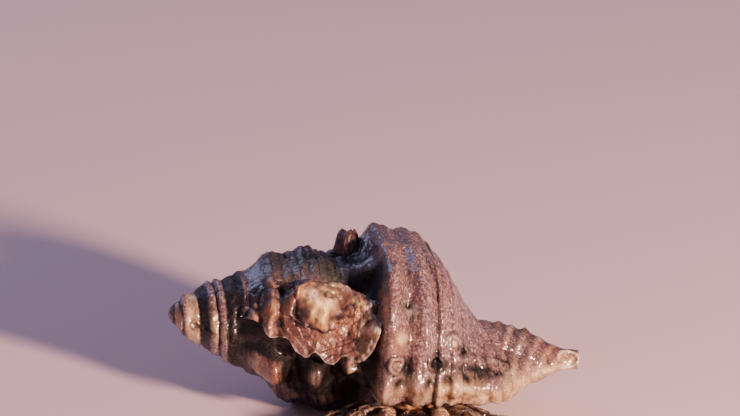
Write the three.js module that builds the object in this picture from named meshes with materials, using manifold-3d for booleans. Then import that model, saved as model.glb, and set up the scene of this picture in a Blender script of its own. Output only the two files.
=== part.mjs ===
// A hermit crab in a worn, knobbed sea snail shell, life size, standing still.
// Millimetres, +X to the shell's canal, -Y to where the crab faces, +Z up, floor at z = 0.
import * as THREE from 'three';
import { mergeVertices } from 'three/addons/utils/BufferGeometryUtils.js';
import Module from 'manifold-3d';

const wasm = await Module();
wasm.setup();

// ---- driving dimensions ----
const shellLength = 78.6;
const apexPlace = new THREE.Vector3(-38.3, -5.4, 19.2);
const axisAim = new THREE.Vector3(0.991, 0.092, -0.094);
const noseLength = 2.2;             // the rounded tip of the spire
const noseRadius = 2.7;
const lipTurn = 130 / 360;          // turns past the top where the outer lip ends
const wallThickness = 1.8;
const pieceGap = 0.3;
const spireCutAt = 13.7;            // along the axis, in the groove between two whorls
const canalCutAt = 61.5;
const sectionSteps = 42;

// ---- small helpers ----
const mix = (a, b, t) => a + (b - a) * t;
const clamp01 = (t) => Math.min(1, Math.max(0, t));
const smooth = (t) => clamp01(t) ** 2 * (3 - 2 * clamp01(t));

// a smooth line through [x, y] knots, level outside them
function curveThrough(knots) {
  return (x) => {
    if (x <= knots[0][0]) return knots[0][1];
    for (let i = 1; i < knots.length; i += 1) {
      if (x > knots[i][0]) continue;
      const [x0, y0] = knots[i - 1];
      const [x1, y1] = knots[i];
      const slope = (j) => {
        if (j <= 0 || j >= knots.length - 1) return 0;
        return (knots[j + 1][1] - knots[j - 1][1]) / (knots[j + 1][0] - knots[j - 1][0]);
      };
      const h = x1 - x0;
      const t = (x - x0) / h;
      const t2 = t * t;
      const t3 = t2 * t;
      return (2 * t3 - 3 * t2 + 1) * y0 + (t3 - 2 * t2 + t) * h * slope(i - 1)
        + (3 * t2 - 2 * t3) * y1 + (t3 - t2) * h * slope(i);
    }
    return knots[knots.length - 1][1];
  };
}

// ---- closed meshes from rings of points ----
function lofted(rings, startTip, endTip) {
  const points = [startTip, ...rings.flat(), endTip];
  const n = rings[0].length;
  const faces = [];
  const at = (i, j) => 1 + i * n + (j % n);
  for (let j = 0; j < n; j += 1) faces.push(0, at(0, j + 1), at(0, j));
  for (let i = 0; i < rings.length - 1; i += 1) {
    for (let j = 0; j < n; j += 1) {
      faces.push(at(i, j), at(i, j + 1), at(i + 1, j));
      faces.push(at(i, j + 1), at(i + 1, j + 1), at(i + 1, j));
    }
  }
  const last = rings.length - 1;
  const end = points.length - 1;
  for (let j = 0; j < n; j += 1) faces.push(at(last, j), at(last, j + 1), end);
  const geometry = new THREE.BufferGeometry();
  geometry.setAttribute('position', new THREE.Float32BufferAttribute(points.flatMap((p) => p.toArray()), 3));
  geometry.setIndex(facingOut(points, faces));
  return geometry;
}

// turns every face round if the closed mesh came out inside out
function facingOut(points, faces) {
  let volume = 0;
  for (let i = 0; i < faces.length; i += 3) {
    const [a, b, c] = [points[faces[i]], points[faces[i + 1]], points[faces[i + 2]]];
    volume += a.dot(new THREE.Vector3().crossVectors(b, c));
  }
  return volume > 0 ? faces : [...faces].reverse();
}

function toSolid(geometry) {
  const plain = geometry.clone();
  plain.deleteAttribute('normal');
  plain.deleteAttribute('uv');
  const merged = mergeVertices(plain, 1e-4);
  return new wasm.Manifold(new wasm.Mesh({
    numProp: 3,
    vertProperties: new Float32Array(merged.attributes.position.array),
    triVerts: new Uint32Array(merged.index.array),
  }));
}

function toGeometry(solid) {
  const mesh = solid.getMesh();
  const geometry = new THREE.BufferGeometry();
  geometry.setAttribute('position', new THREE.BufferAttribute(new Float32Array(mesh.vertProperties), 3));
  geometry.setIndex(new THREE.BufferAttribute(new Uint32Array(mesh.triVerts), 1));
  return geometry;
}

function boxSolid(size, centre, quaternion) {
  const box = new THREE.BoxGeometry(...size);
  if (quaternion) box.applyQuaternion(quaternion);
  box.translate(...centre);
  return toSolid(box);
}

// ---- the shell's own frame: along the axis, up from it, and out to the front ----
const along = axisAim.clone().normalize();
const upRough = new THREE.Vector3(0, 0.358, 0.934);
const up = upRough.clone().addScaledVector(along, -upRough.dot(along)).normalize();
const front = new THREE.Vector3().crossVectors(along, up).normalize();
const lipAngle = lipTurn * 2 * Math.PI;

// the canal end bends towards the lip
const canalBend = curveThrough([[44, 0], [54, 2.6], [62, 4.8], [68, 5.4], [80, 5.1]]);

function shellPoint(s, angle, radius) {
  const bend = canalBend(s);
  return apexPlace.clone()
    .addScaledVector(along, s)
    .addScaledVector(up, Math.cos(angle) * radius - bend * 0.92)
    .addScaledVector(front, Math.sin(angle) * radius + bend * 0.39);
}

// place of the shoulder keel along the axis, by turns from the top of the body whorl
const keelPlace = curveThrough([
  [-4.5, 0.4], [-4, 2.0], [-3.5, 3.4], [-3, 5.6], [-2.5, 7.8], [-2, 11.4], [-1.6, 12.4],
  [-1.25, 16.6], [-1, 18.0], [-0.64, 20.4], [-0.44, 25.0], [-0.25, 32.5], [0, 38.4], [0.37, 40.0],
]);
const keelRadiusAt = curveThrough([
  [-4.5, 0.6], [-4, 2.3], [-3, 4.9], [-2, 8.3], [-1, 11.9], [-0.5, 14.8], [0, 18.0], [0.2, 20.2],
  [0.36, 22.6],
]);
// towards the apex from the keel: concave slope to the suture, as shares of the pitch and radius
const slopeBack = curveThrough([
  [-1.6, 0.2], [-1, 0.66], [-0.62, 0.75], [-0.36, 0.84], [-0.12, 0.97], [0, 1],
]);
// towards the canal from the keel, offsets in mm: the last whorl runs down to the canal
const slopeFront = curveThrough([
  [0, 1], [2.4, 1.0], [6.8, 0.97], [11.6, 0.82], [13.6, 0.7], [15.6, 0.56], [17.6, 0.43],
  [20, 0.31], [22.4, 0.25], [30, 0.16], [36, 0.05],
]);
// and at the lip, which flares
const lipFront = curveThrough([
  [0, 1], [3.5, 1], [7, 0.96], [13.5, 0.81], [19, 0.7], [23, 0.6], [26, 0.46], [29, 0.28], [32, 0.12],
  [35, 0.04],
]);
// earlier whorls are broad bands that the next whorl covers
const bandFront = curveThrough([
  [0, 1], [3, 1.03], [7, 1.13], [11, 1.08], [13, 1.02], [15, 0.9], [17, 0.74], [19, 0.58],
  [22, 0.4], [26, 0.28], [31, 0.2], [37, 0.05],
]);
const canalRadius = curveThrough([
  [50, 2], [55, 4.8], [60, 5.6], [64, 5.6], [67.4, 5.15], [69.3, 4.6], [71, 3.9], [73, 2.85], [75, 1.95],
  [76.5, 1.8], [78.5, 1.9],
]);

// knobs on the keel, as [turn, how much of a turn wide], and weaker ones on the cord in front of it
const knobs = [[-1.13, 0.042], [-0.97, 0.042], [-0.8, 0.042], [-0.62, 0.042], [-0.45, 0.042],
  [-0.28, 0.042], [-0.13, 0.042], [0, 0.042], [0.22, 0.085]];
const knobShape = { rise: 1.5, reach: 2.3, cordRise: 0.7, cordReach: 2.2, cordOffset: 7 };
const hump = (distance, reach) => Math.exp(-((distance / reach) ** 2));
function knobRise(s, turn) {
  const offset = s - keelPlace(turn);
  const size = keelRadiusAt(turn) / keelRadiusAt(0);
  const across = knobShape.rise * hump(offset, knobShape.reach)
    + knobShape.cordRise * hump(offset - knobShape.cordOffset, knobShape.cordReach);
  return knobs.reduce((rise, [knob, wide]) => rise + hump(turn - knob, wide) * across * size, 0);
}

// where the last whorl's own slope takes over from the band, and where its lip flares, in turns
const lastWhorl = { start: -0.42, ease: 0.3 };
const flare = { start: 0.18, ease: 0.15 };

function whorlRadius(s, turn) {
  const keel = keelPlace(turn);
  const pitch = Math.max(1.4, Math.min(8.5, keel - keelPlace(turn - 1)));
  const offset = s - keel;
  const isLast = smooth((turn - lastWhorl.start) / lastWhorl.ease);
  const last = mix(slopeFront(offset), lipFront(offset), smooth((turn - flare.start) / flare.ease));
  const share = offset < 0 ? slopeBack(offset / pitch) : mix(bandFront(offset), last, isLast);
  return keelRadiusAt(turn) * share + knobRise(s, turn);
}

const firstTurn = -4.4;
function outerRadius(s, angle, endTurn) {
  let radius = canalRadius(s);
  for (let turn = angle / (2 * Math.PI); turn > firstTurn; turn -= 1) {
    if (turn <= endTurn + 1e-6) radius = Math.max(radius, whorlRadius(s, turn));
  }
  return s < noseLength ? Math.min(radius, noseRadius * Math.sqrt(s / noseLength)) : radius;
}

// angles round the shell, with a step where the outer lip ends
const ringAngles = [];
for (let j = 0; j < sectionSteps; j += 1) {
  const angle = lipAngle + 0.02 + (2 * Math.PI - 0.02) * (j / (sectionSteps - 1));
  ringAngles.push(angle > 2 * Math.PI ? angle - 2 * Math.PI : angle);
}
const axialStops = [0.3, 1.1, 2.4, 3.6, 4.9, 6.2, 7.4, 8.8, 10.2, 11.6, 12.8, 14.2, 16, 17.8,
  19.6, 21.6, 24, 26.4, 28.8, 31, 33, 34.6, 36, 37.4, 38.8, 40.6, 43, 46, 49, 51.6, 54, 56.4,
  59, 62, 65, 68, 71, 74, 76.4, shellLength];

function wholeShell(grown = 0) {
  const rings = axialStops.map((s) => ringAngles.map((angle) => {
    const pastLip = angle > lipAngle + 0.01;
    const endTurn = pastLip ? lipTurn - 0.001 : lipTurn;
    return shellPoint(s, angle, outerRadius(s, angle, endTurn) + grown);
  }));
  const tip = shellPoint(0, 0, 0);
  const end = shellPoint(shellLength, 0, 0);
  return toSolid(lofted(rings, tip, end));
}

// ---- the mouth: what lies between the outer wall and the whorl before it ----
const mouth = {
  start: 28 / 360,                  // turns past the top where the hollow begins
  middle: 47,                       // along the axis
  from: 32,
  length: 31.5,
  columnRadius: 3.4,                // the pillar that the whorls turn about
  innerWall: 0.8,
  least: 0.35,                      // the hollow is never thinner than this
  opensBy: 0.3,                     // share of the hollow in which it widens from its closed end
};
const mouthStops = [33, 35, 37.5, 40, 43, 46, 49, 52, 55, 58, 60.5, 62.5];
const mouthTurns = [0, 0.12, 0.3, 0.5, 0.7, 0.85, 1, 1.12];
const centreOf = (ring) => ring.reduce((sum, p) => sum.add(p), new THREE.Vector3()).divideScalar(ring.length);
const closedLoft = (rings) => toSolid(lofted(rings, centreOf(rings[0]), centreOf(rings[rings.length - 1])));

function mouthPocket() {
  const rings = mouthTurns.map((t) => {
    const turn = mix(mouth.start, lipTurn, t);
    const deep = mix(0.04, 1, Math.sqrt(clamp01(t / mouth.opensBy)));
    const angle = turn * 2 * Math.PI;
    const outside = [];
    const inside = [];
    for (const stop of mouthStops) {
      const s = mouth.middle + (stop - mouth.middle) * deep;
      const wall = outerRadius(s, Math.min(angle, lipAngle), lipTurn) - wallThickness;
      const column = Math.max(canalRadius(s) * 0.35, mouth.columnRadius);
      const low = Math.max(whorlRadius(s, turn - 1), column) + mouth.innerWall;
      const ends = Math.sin(Math.PI * clamp01((stop - mouth.from) / mouth.length)) ** 0.5;
      const high = Math.max(low + mouth.least, mix(low, wall, deep * ends));
      outside.push(shellPoint(s, angle, high));
      inside.unshift(shellPoint(s, angle, low));
    }
    return [...outside, ...inside];
  });
  return closedLoft(rings);
}

// the canal's open slit on the underside, from the mouth to the tip
const slit = {
  stops: [57, 64, 72, shellLength + 1],
  halfAtMouth: 1.5,
  halfAtTip: 0.75,
  turnAtMouth: 0.12,                // radians past the lip
  turnAtTip: 0.75,
  turnsOver: 14,                    // mm along which it comes round
  sides: 8,
};
function canalSlit() {
  const [first, last] = [slit.stops[0], slit.stops[slit.stops.length - 1]];
  return closedLoft(slit.stops.map((s) => {
    const halfWidth = mix(slit.halfAtMouth, slit.halfAtTip, (s - first) / (last - first));
    const radius = canalRadius(s);
    const angle = lipAngle + mix(slit.turnAtMouth, slit.turnAtTip, smooth((s - first) / slit.turnsOver));
    const ring = [];
    for (let j = 0; j < slit.sides; j += 1) {
      const turn = (j / slit.sides) * 2 * Math.PI;
      const r = radius * (0.55 + 0.62 * Math.cos(turn));
      const aside = shellPoint(s, angle + Math.PI / 2, halfWidth * Math.sin(turn)).sub(shellPoint(s, 0, 0));
      ring.push(shellPoint(s, angle, r).add(aside));
    }
    return ring;
  }));
}

// ---- cuts square to the axis, and the flat that the shell lies on ----
const axisTurn = new THREE.Quaternion().setFromUnitVectors(new THREE.Vector3(1, 0, 0), along);
function slabAlong(from, to) {
  const centre = shellPoint((from + to) / 2, 0, 0);
  return boxSolid([to - from, 90, 90], centre.toArray(), axisTurn);
}
const underFloor = boxSolid([200, 200, 40], [0, 0, -20]);

const pieces = [];
function addPiece(name, geometry, colour, roughness = 0.5) {
  pieces.push({ name, geometry, colour, roughness });
}

const shellSolid = wholeShell().subtract(mouthPocket()).subtract(canalSlit()).subtract(underFloor);
const half = pieceGap / 2;
const shellParts = [
  ['shell_spire', -5, spireCutAt - half, 0x8f7a5c],
  ['shell_body_whorl', spireCutAt + half, canalCutAt - half, 0x9c7f70],
  ['shell_siphonal_canal', canalCutAt + half, shellLength + 10, 0x8b6a52],
];
for (const [name, from, to, colour] of shellParts) {
  addPiece(name, toGeometry(shellSolid.intersect(slabAlong(from, to))), colour, 0.4);
}

// ---- what has settled on the shell ----
const grownShell = wholeShell(pieceGap);

// an old oyster valve, moulded over the middle whorl; its margin as [along, degrees round]
const oysterCentre = [27.8, 83];
const oysterMargin = [
  [13.4, 80], [14, 61], [17.8, 51], [20.2, 58], [24.4, 51], [31.2, 54], [33.4, 62], [36, 71],
  [38.4, 80], [38.3, 92], [36.8, 104], [34.4, 112], [32.2, 110], [29.8, 116], [26.6, 109], [25, 113],
  [22.6, 109], [20.8, 102], [17.9, 103], [16.2, 93], [13.6, 90],
];
const oysterThickness = curveThrough([[0, 3.1], [0.3, 2.7], [0.62, 2.2], [0.86, 2.3], [1, 1.3]]);
const oysterSunk = 1.2;             // the closed solid reaches this far into the shell before it is cut
const oysterShares = [0.3, 0.62, 0.86, 1];
function oysterSolid() {
  const at = (margin, share, rise) => {
    const s = mix(oysterCentre[0], margin[0], share);
    const angle = mix(oysterCentre[1], margin[1], share) * Math.PI / 180;
    return shellPoint(s, angle, outerRadius(s, angle, lipTurn) + rise);
  };
  const ring = (share, rise) => oysterMargin.map((margin) => at(margin, share, rise));
  const upper = oysterShares.map((share) => ring(share, oysterThickness(share)));
  const lower = oysterShares.map((share) => ring(share, -oysterSunk)).reverse();
  const centre = oysterCentre;
  return toSolid(lofted([...upper, ...lower], at(centre, 0, oysterThickness(0)), at(centre, 0, -oysterSunk)));
}
addPiece('oyster_valve', toGeometry(oysterSolid().subtract(grownShell)), 0xa88c62, 0.5);

// a barnacle that stands on the shoulder
function barnacleSolid(s, degrees, base, tall) {
  const outline = [[0, -2], [base, -2], [base * 0.95, tall * 0.3], [base * 0.72, tall * 0.8],
    [base * 0.52, tall], [base * 0.36, tall * 0.97], [base * 0.26, tall * 0.68], [0, tall * 0.62]];
  const lathe = new THREE.LatheGeometry(outline.map(([x, y]) => new THREE.Vector2(x, y)), 10);
  const angle = degrees * Math.PI / 180;
  const foot = shellPoint(s, angle, outerRadius(s, angle, lipTurn));
  const aim = foot.clone().sub(shellPoint(s, angle, 0)).normalize();
  lathe.applyQuaternion(new THREE.Quaternion().setFromUnitVectors(new THREE.Vector3(0, 1, 0), aim));
  lathe.translate(...foot.toArray());
  return toSolid(lathe).subtract(grownShell);
}
addPiece('barnacle', toGeometry(barnacleSolid(33.1, 6, 2.1, 4.3)), 0x4a3a34, 0.5);

// ---- the crab: it faces the front, its right side towards the apex ----
const crabMiddle = 8.2;
const legGap = 0.3;                 // between two plates of a leg, where the soft joint shows
const sides = [['right', -1], ['left', 1]];
const place = (x, y, z) => new THREE.Vector3(x, y, z);
const beside = (hand, x, y, z) => place(crabMiddle + hand * x, y, z);

// a round or oval body swept along a smooth line; each profile row is [share of length, width, height]
function sweptGeometry(line, profile, sidesRound = 8) {
  const curve = new THREE.CatmullRomCurve3(line);
  const upWorld = new THREE.Vector3(0, 0, 1);
  const rings = profile.slice(1, -1).map(([t, width, height]) => {
    const centre = curve.getPoint(t);
    const tangent = curve.getTangent(t);
    const wide = new THREE.Vector3().crossVectors(tangent, upWorld).normalize();
    const tall = new THREE.Vector3().crossVectors(wide, tangent).normalize();
    const ring = [];
    for (let j = 0; j < sidesRound; j += 1) {
      const a = (j / sidesRound) * 2 * Math.PI;
      ring.push(centre.clone().addScaledVector(wide, Math.cos(a) * width / 2)
        .addScaledVector(tall, Math.sin(a) * height / 2));
    }
    return ring;
  });
  return lofted(rings, curve.getPoint(0), curve.getPoint(1));
}

// one plate of a leg between two joints: waisted at both ends, fullest past the middle
const platePlan = [[0], [0.015, 0.62, 0.62], [0.14, 0.86, 0.86], [0.5, 0.98, 0.98], [0.8, 1, 1],
  [0.97, 0.82, 0.84], [1]];
function plateGeometry(from, to, width, height, taper = 0.8) {
  const aim = to.clone().sub(from).normalize();
  const start = from.clone().addScaledVector(aim, legGap / 2);
  const end = to.clone().addScaledVector(aim, -legGap / 2);
  const slim = (t) => mix(1, taper, t);
  const profile = platePlan.map(([t, w, h]) => [t, w * width * slim(t), h * height * slim(t)]);
  return sweptGeometry([start, end], profile);
}

// the last joint of a walking leg: a curved claw that ends on a small flat on the floor
const foot = { width: 0.9, bow: 1.1, below: 0.7 };
const clawPlan = [[0], [0.04, 0.5, 0.5], [0.14, 0.85, 0.85], [0.4, 0.95, 1], [0.7, 0.72, 0.76]];
function clawGeometry(from, to, width) {
  const aim = to.clone().sub(from).normalize();
  const start = from.clone().addScaledVector(aim, legGap / 2);
  const bow = start.clone().lerp(to, 0.5).add(place(0, 0, foot.bow));
  const tip = to.clone().add(place(0, 0, -foot.below));
  const profile = clawPlan.map(([t, w, h]) => [t, w * width, h * width]);
  profile.push([0.96, foot.width, foot.width], [1]);
  return toGeometry(toSolid(sweptGeometry([start, bow, tip], profile)).subtract(underFloor));
}

// walking legs: joints from the hip out, for each side
const legWidths = [2.9, 2.5, 2.2, 1.7];
const legParts = ['merus', 'carpus', 'propodus', 'dactyl'];
const walkingLegs = [
  {
    rank: 'second',
    side: 'right',
    joints: [[2.7, -14.9, 3.2], [-2.2, -24.4, 6.3], [-4.6, -29.4, 5.7], [-8.6, -36.4, 3.4], [-11.8, -43.5, 0]],
  },
  {
    rank: 'second',
    side: 'left',
    joints: [[13.9, -15.1, 2.8], [18.4, -24.2, 6.2], [20.7, -29.2, 5.6], [24.6, -36.2, 3.4], [27.6, -43.3, 0]],
  },
  {
    rank: 'third',
    side: 'right',
    joints: [[2.5, -11.4, 3.0], [-5.4, -20.6, 4.5], [-9.2, -24.8, 4.5], [-14.8, -30.2, 2.9], [-20, -36, 0]],
  },
  {
    rank: 'third',
    side: 'left',
    joints: [[13.9, -11.5, 2.5], [22.4, -19.5, 3.3], [26.2, -23.2, 3.9], [31.6, -28.5, 2.8], [36.9, -34.4, 0]],
  },
];
for (const { rank, side, joints } of walkingLegs) {
  const points = joints.map((joint) => place(...joint));
  legParts.forEach((part, i) => {
    const geometry = part === 'dactyl' ? clawGeometry(points[3], points[4], legWidths[3])
      : plateGeometry(points[i], points[i + 1], legWidths[i], legWidths[i] * 1.1);
    addPiece(`${rank}_leg_${side}_${part}`, geometry, 0x3a3226, 0.35);
  });
}

// the two claws, nearly alike: arm, wrist, hand with its fixed finger, and the moving finger
const palmPlan = [[0], [0.04, 1.8, 1.8], [0.16, 3.4, 3.0], [0.45, 4.7, 3.9], [0.75, 4.9, 3.8],
  [0.94, 3.6, 2.8], [1]];
const fingerPlan = [[0], [0.04, 1.2, 1.4], [0.2, 1.9, 2.3], [0.6, 1.6, 1.9], [0.9, 1.0, 1.2], [1]];
const fixedAside = 1.1;             // mm out from the hand's middle, and in for the moving finger
const movingAside = -1.2;
for (const [side, hand] of sides) {
  const shoulder = beside(hand, 4.4, -18.4, 3.4);
  const elbow = beside(hand, 5.2, -24.8, 6.2);
  const wrist = beside(hand, 4.6, -29.2, 6.0);
  const knuckle = beside(hand, 2.9, -36.0, 4.2);
  const tip = beside(hand, 2.0, -41.6, 2.6);
  addPiece(`claw_${side}_arm`, plateGeometry(shoulder, elbow, 3.1, 3.2, 0.9), 0x4a3828, 0.35);
  addPiece(`claw_${side}_wrist`, plateGeometry(elbow, wrist, 3.3, 3.3, 1), 0x5a4028, 0.35);
  const aim = knuckle.clone().sub(wrist).normalize();
  const palmStart = wrist.clone().addScaledVector(aim, legGap / 2);
  const palm = toSolid(sweptGeometry([palmStart, knuckle], palmPlan, 10));
  const finger = (aside, from) => {
    const offset = place(hand * aside, 0, 0);
    const bend = from.clone().lerp(tip, 0.55).addScaledVector(offset, 1.25);
    const end = tip.clone().addScaledVector(offset, 0.35);
    return sweptGeometry([from.clone().add(offset), bend, end], fingerPlan);
  };
  const fixed = toSolid(finger(fixedAside, wrist.clone().lerp(knuckle, 0.72)));
  addPiece(`claw_${side}_hand`, toGeometry(palm.add(fixed)), 0x5e4a30, 0.4);
  const movingFrom = knuckle.clone().addScaledVector(aim, 0.75);
  addPiece(`claw_${side}_finger`, finger(movingAside, movingFrom), 0x4a3826, 0.4);
}

// ---- body: shield above, soft-sided thorax below, coiled abdomen inside the shell ----
const bodyCentre = [crabMiddle, -13.2, 4.4];
const bodyHalf = [4.9, 6.3, 3.1];
const shieldEdge = 4.9;
function bodySolid() {
  const ball = new THREE.SphereGeometry(1, 20, 12);
  ball.scale(...bodyHalf);
  ball.translate(...bodyCentre);
  return toSolid(ball);
}
const cutter = [60, 60, 20];
const aboveEdge = boxSolid(cutter, [crabMiddle, bodyCentre[1], shieldEdge + pieceGap + cutter[2] / 2]);
const belowEdge = boxSolid(cutter, [crabMiddle, bodyCentre[1], shieldEdge - cutter[2] / 2]);
addPiece('shield', toGeometry(bodySolid().intersect(aboveEdge)), 0x5f6a58, 0.35);
addPiece('thorax', toGeometry(bodySolid().intersect(belowEdge)), 0x6b5a48, 0.45);

const abdomenLine = [[47, 120, 9.6], [46.6, 105, 11.2], [46, 84, 12], [45, 62, 12.2], [44, 44, 12]]
  .map(([s, degrees, radius]) => shellPoint(s, degrees * Math.PI / 180, radius));
const abdomenPlan = [[0], [0.05, 3.6, 3.6], [0.2, 6.4, 6], [0.5, 6.8, 6.4], [0.8, 5.2, 5],
  [0.95, 2.8, 2.6], [1]];
addPiece('abdomen', sweptGeometry(abdomenLine, abdomenPlan, 12), 0xa08068, 0.5);

// ---- the head's pairs ----
const antennaPlan = [[0], [0.01, 0.7, 0.7], [0.15, 0.66, 0.66], [0.4, 0.6, 0.6], [0.7, 0.56, 0.56],
  [0.985, 0.52, 0.52], [1]];
for (const [side, hand] of sides) {
  const stalkEnd = beside(hand, 1.5, -24.3, 6.3);
  const eyeFront = beside(hand, 1.62, -26.0, 6.75);
  addPiece(`eyestalk_${side}`, sweptGeometry([beside(hand, 1.1, -20.1, 5.1), stalkEnd],
    [[0], [0.04, 0.8, 0.8], [0.2, 1.25, 1.25], [0.7, 1.15, 1.15], [0.96, 1.3, 1.3], [1]]), 0xb08a58, 0.3);
  addPiece(`eye_${side}`, sweptGeometry([stalkEnd.clone().add(place(0, -0.32, 0.08)), eyeFront],
    [[0], [0.1, 1.1, 1.1], [0.4, 1.5, 1.5], [0.75, 1.25, 1.25], [0.95, 0.6, 0.6], [1]]), 0x101010, 0.1);
  const antennuleLine = [beside(hand, 0.7, -20.4, 3.6), beside(hand, 0.9, -25.4, 4.5),
    beside(hand, 1.0, -28.6, 6.6), beside(hand, 1.5, -31.4, 6.4)];
  addPiece(`antennule_${side}`, sweptGeometry(antennuleLine,
    [[0], [0.03, 0.6, 0.6], [0.3, 0.8, 0.8], [0.6, 0.7, 0.7], [0.97, 0.52, 0.52], [1]], 6), 0xc07a40, 0.4);
  const hornEnd = beside(hand, 2.75, -24.2, 5.0);
  addPiece(`antenna_base_${side}`, sweptGeometry([beside(hand, 2.45, -19.9, 3.9), hornEnd],
    [[0], [0.04, 0.9, 0.9], [0.3, 1.3, 1.3], [0.75, 1.15, 1.15], [0.96, 0.8, 0.8], [1]]), 0xb06a34, 0.4);
  const antennaLine = [hornEnd.clone().add(place(0, -0.35, 0.1)), beside(hand, 2.35, -28.4, 6.9),
    beside(hand, 3.2, -33.5, 8.5), beside(hand, 7.2, -40.5, 8.3), beside(hand, 13, -46.4, 5.6)];
  addPiece(`antenna_${side}`, sweptGeometry(antennaLine, antennaPlan, 6), 0xd0702a, 0.4);
  addPiece(`mouth_foot_${side}`, sweptGeometry(
    [beside(hand, 1.5, -18.9, 1.9), beside(hand, 1.9, -22.4, 2.3), beside(hand, 1.2, -24.6, 1.2)],
    [[0], [0.04, 1.0, 1.0], [0.3, 1.6, 1.5], [0.7, 1.3, 1.2], [0.95, 0.7, 0.7], [1]]), 0x6a4a30, 0.45);
  addPiece(`fourth_leg_${side}`, sweptGeometry(
    [beside(hand, 5.5, -7.9, 3.4), beside(hand, 7.0, -8.4, 3.2), beside(hand, 8.2, -10.6, 1.5)],
    [[0], [0.05, 0.9, 0.9], [0.35, 1.3, 1.3], [0.75, 1.1, 1.1], [0.96, 0.7, 0.7], [1]], 6), 0x5a4632, 0.4);
}

// ---- assemble, with the middle of the whole model over the origin ----
const middle = new THREE.Vector3(0.77, -15.575, 0);
const group = new THREE.Group();
group.position.copy(middle).negate();
for (const piece of pieces) {
  const mesh = new THREE.Mesh(piece.geometry, new THREE.MeshStandardMaterial({
    color: piece.colour, roughness: piece.roughness, metalness: 0,
  }));
  mesh.name = piece.name;
  group.add(mesh);
}

export default group;
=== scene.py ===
import math

import bpy
import numpy as np
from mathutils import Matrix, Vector


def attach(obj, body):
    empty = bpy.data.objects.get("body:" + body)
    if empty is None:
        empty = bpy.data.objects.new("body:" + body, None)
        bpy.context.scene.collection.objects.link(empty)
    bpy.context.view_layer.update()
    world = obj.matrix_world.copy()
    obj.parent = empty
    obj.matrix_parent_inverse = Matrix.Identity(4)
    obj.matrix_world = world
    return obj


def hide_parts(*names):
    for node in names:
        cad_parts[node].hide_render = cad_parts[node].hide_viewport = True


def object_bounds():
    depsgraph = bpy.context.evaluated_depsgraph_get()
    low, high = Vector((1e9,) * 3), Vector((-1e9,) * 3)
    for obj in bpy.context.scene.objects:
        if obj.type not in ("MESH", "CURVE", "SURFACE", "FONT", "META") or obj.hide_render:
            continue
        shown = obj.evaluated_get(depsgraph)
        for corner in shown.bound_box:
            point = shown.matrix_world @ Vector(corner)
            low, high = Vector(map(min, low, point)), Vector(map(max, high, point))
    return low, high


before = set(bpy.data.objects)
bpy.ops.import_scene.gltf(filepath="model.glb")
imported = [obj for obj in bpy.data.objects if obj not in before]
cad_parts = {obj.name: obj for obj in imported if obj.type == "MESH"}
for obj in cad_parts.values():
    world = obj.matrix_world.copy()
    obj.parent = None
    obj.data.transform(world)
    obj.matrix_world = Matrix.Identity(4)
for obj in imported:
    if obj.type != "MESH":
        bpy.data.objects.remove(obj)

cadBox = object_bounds()
mm = 0.001
fullTurn = 2 * math.pi
rng = np.random.default_rng(11)


def linearColour(hexText):
    parts = [int(hexText[i:i + 2], 16) / 255 for i in (0, 2, 4)]
    return [c / 12.92 if c <= 0.04045 else ((c + 0.055) / 1.055) ** 2.4 for c in parts] + [1.0]


def smoothStep(low, high, value):
    t = np.clip((np.asarray(value, float) - low) / (high - low), 0, 1)
    return t * t * (3 - 2 * t)


def curveThrough(knots):
    # a smooth line through [x, y] knots, level outside them
    xs = np.array([k[0] for k in knots], float)
    ys = np.array([k[1] for k in knots], float)
    slopes = np.zeros(len(xs))
    slopes[1:-1] = (ys[2:] - ys[:-2]) / (xs[2:] - xs[:-2])

    def curve(x):
        x = np.clip(np.asarray(x, float), xs[0], xs[-1])
        i = np.clip(np.searchsorted(xs, x, side="right") - 1, 0, len(xs) - 2)
        h = xs[i + 1] - xs[i]
        t = (x - xs[i]) / h
        t2, t3 = t * t, t * t * t
        return ((2 * t3 - 3 * t2 + 1) * ys[i] + (t3 - 2 * t2 + t) * h * slopes[i]
                + (3 * t2 - 2 * t3) * ys[i + 1] + (t3 - t2) * h * slopes[i + 1])
    return curve


def smoothBetween(before, start, end, after, f):
    # the place a share f of the way from start to end, on a smooth line through all four
    return start + 0.5 * f * (end - before + f * (
        2 * before - 5 * start + 4 * end - after + f * (3 * (start - end) + after - before)))


def cellHash(cells, seedWord):
    # a scrambled whole number for each cell of a lattice
    h = (cells[:, 0] * 73856093) ^ (cells[:, 1] * 19349663) ^ (cells[:, 2] * 83492791) ^ seedWord
    h = (h ^ (h >> 13)) * 1274126177
    return h ^ (h >> 16)


def latticeNoise(points, cell, seed):
    # smooth random values from -1 to 1, one bump about every cell, for an array of points
    p = np.asarray(points, float).reshape(-1, 3) / cell
    base = np.floor(p).astype(np.int64)
    f = p - base
    f = f * f * (3 - 2 * f)
    total = np.zeros(len(p))
    for corner in range(8):
        step = np.array([corner & 1, (corner >> 1) & 1, (corner >> 2) & 1])
        level = cellHash(base + step, seed * 2654435761) & 0xFFFF
        total += np.prod(np.where(step == 1, f, 1 - f), axis=1) * (level / 32767.5 - 1)
    return total.reshape(np.shape(points)[:-1])


def layeredNoise(points, cell, seed, layers=3):
    total, size, share = 0, cell, 1.0
    for layer in range(layers):
        total = total + share * latticeNoise(points, size, seed + layer)
        size, share = size / 2.1, share * 0.5
    return total / 1.6


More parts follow.
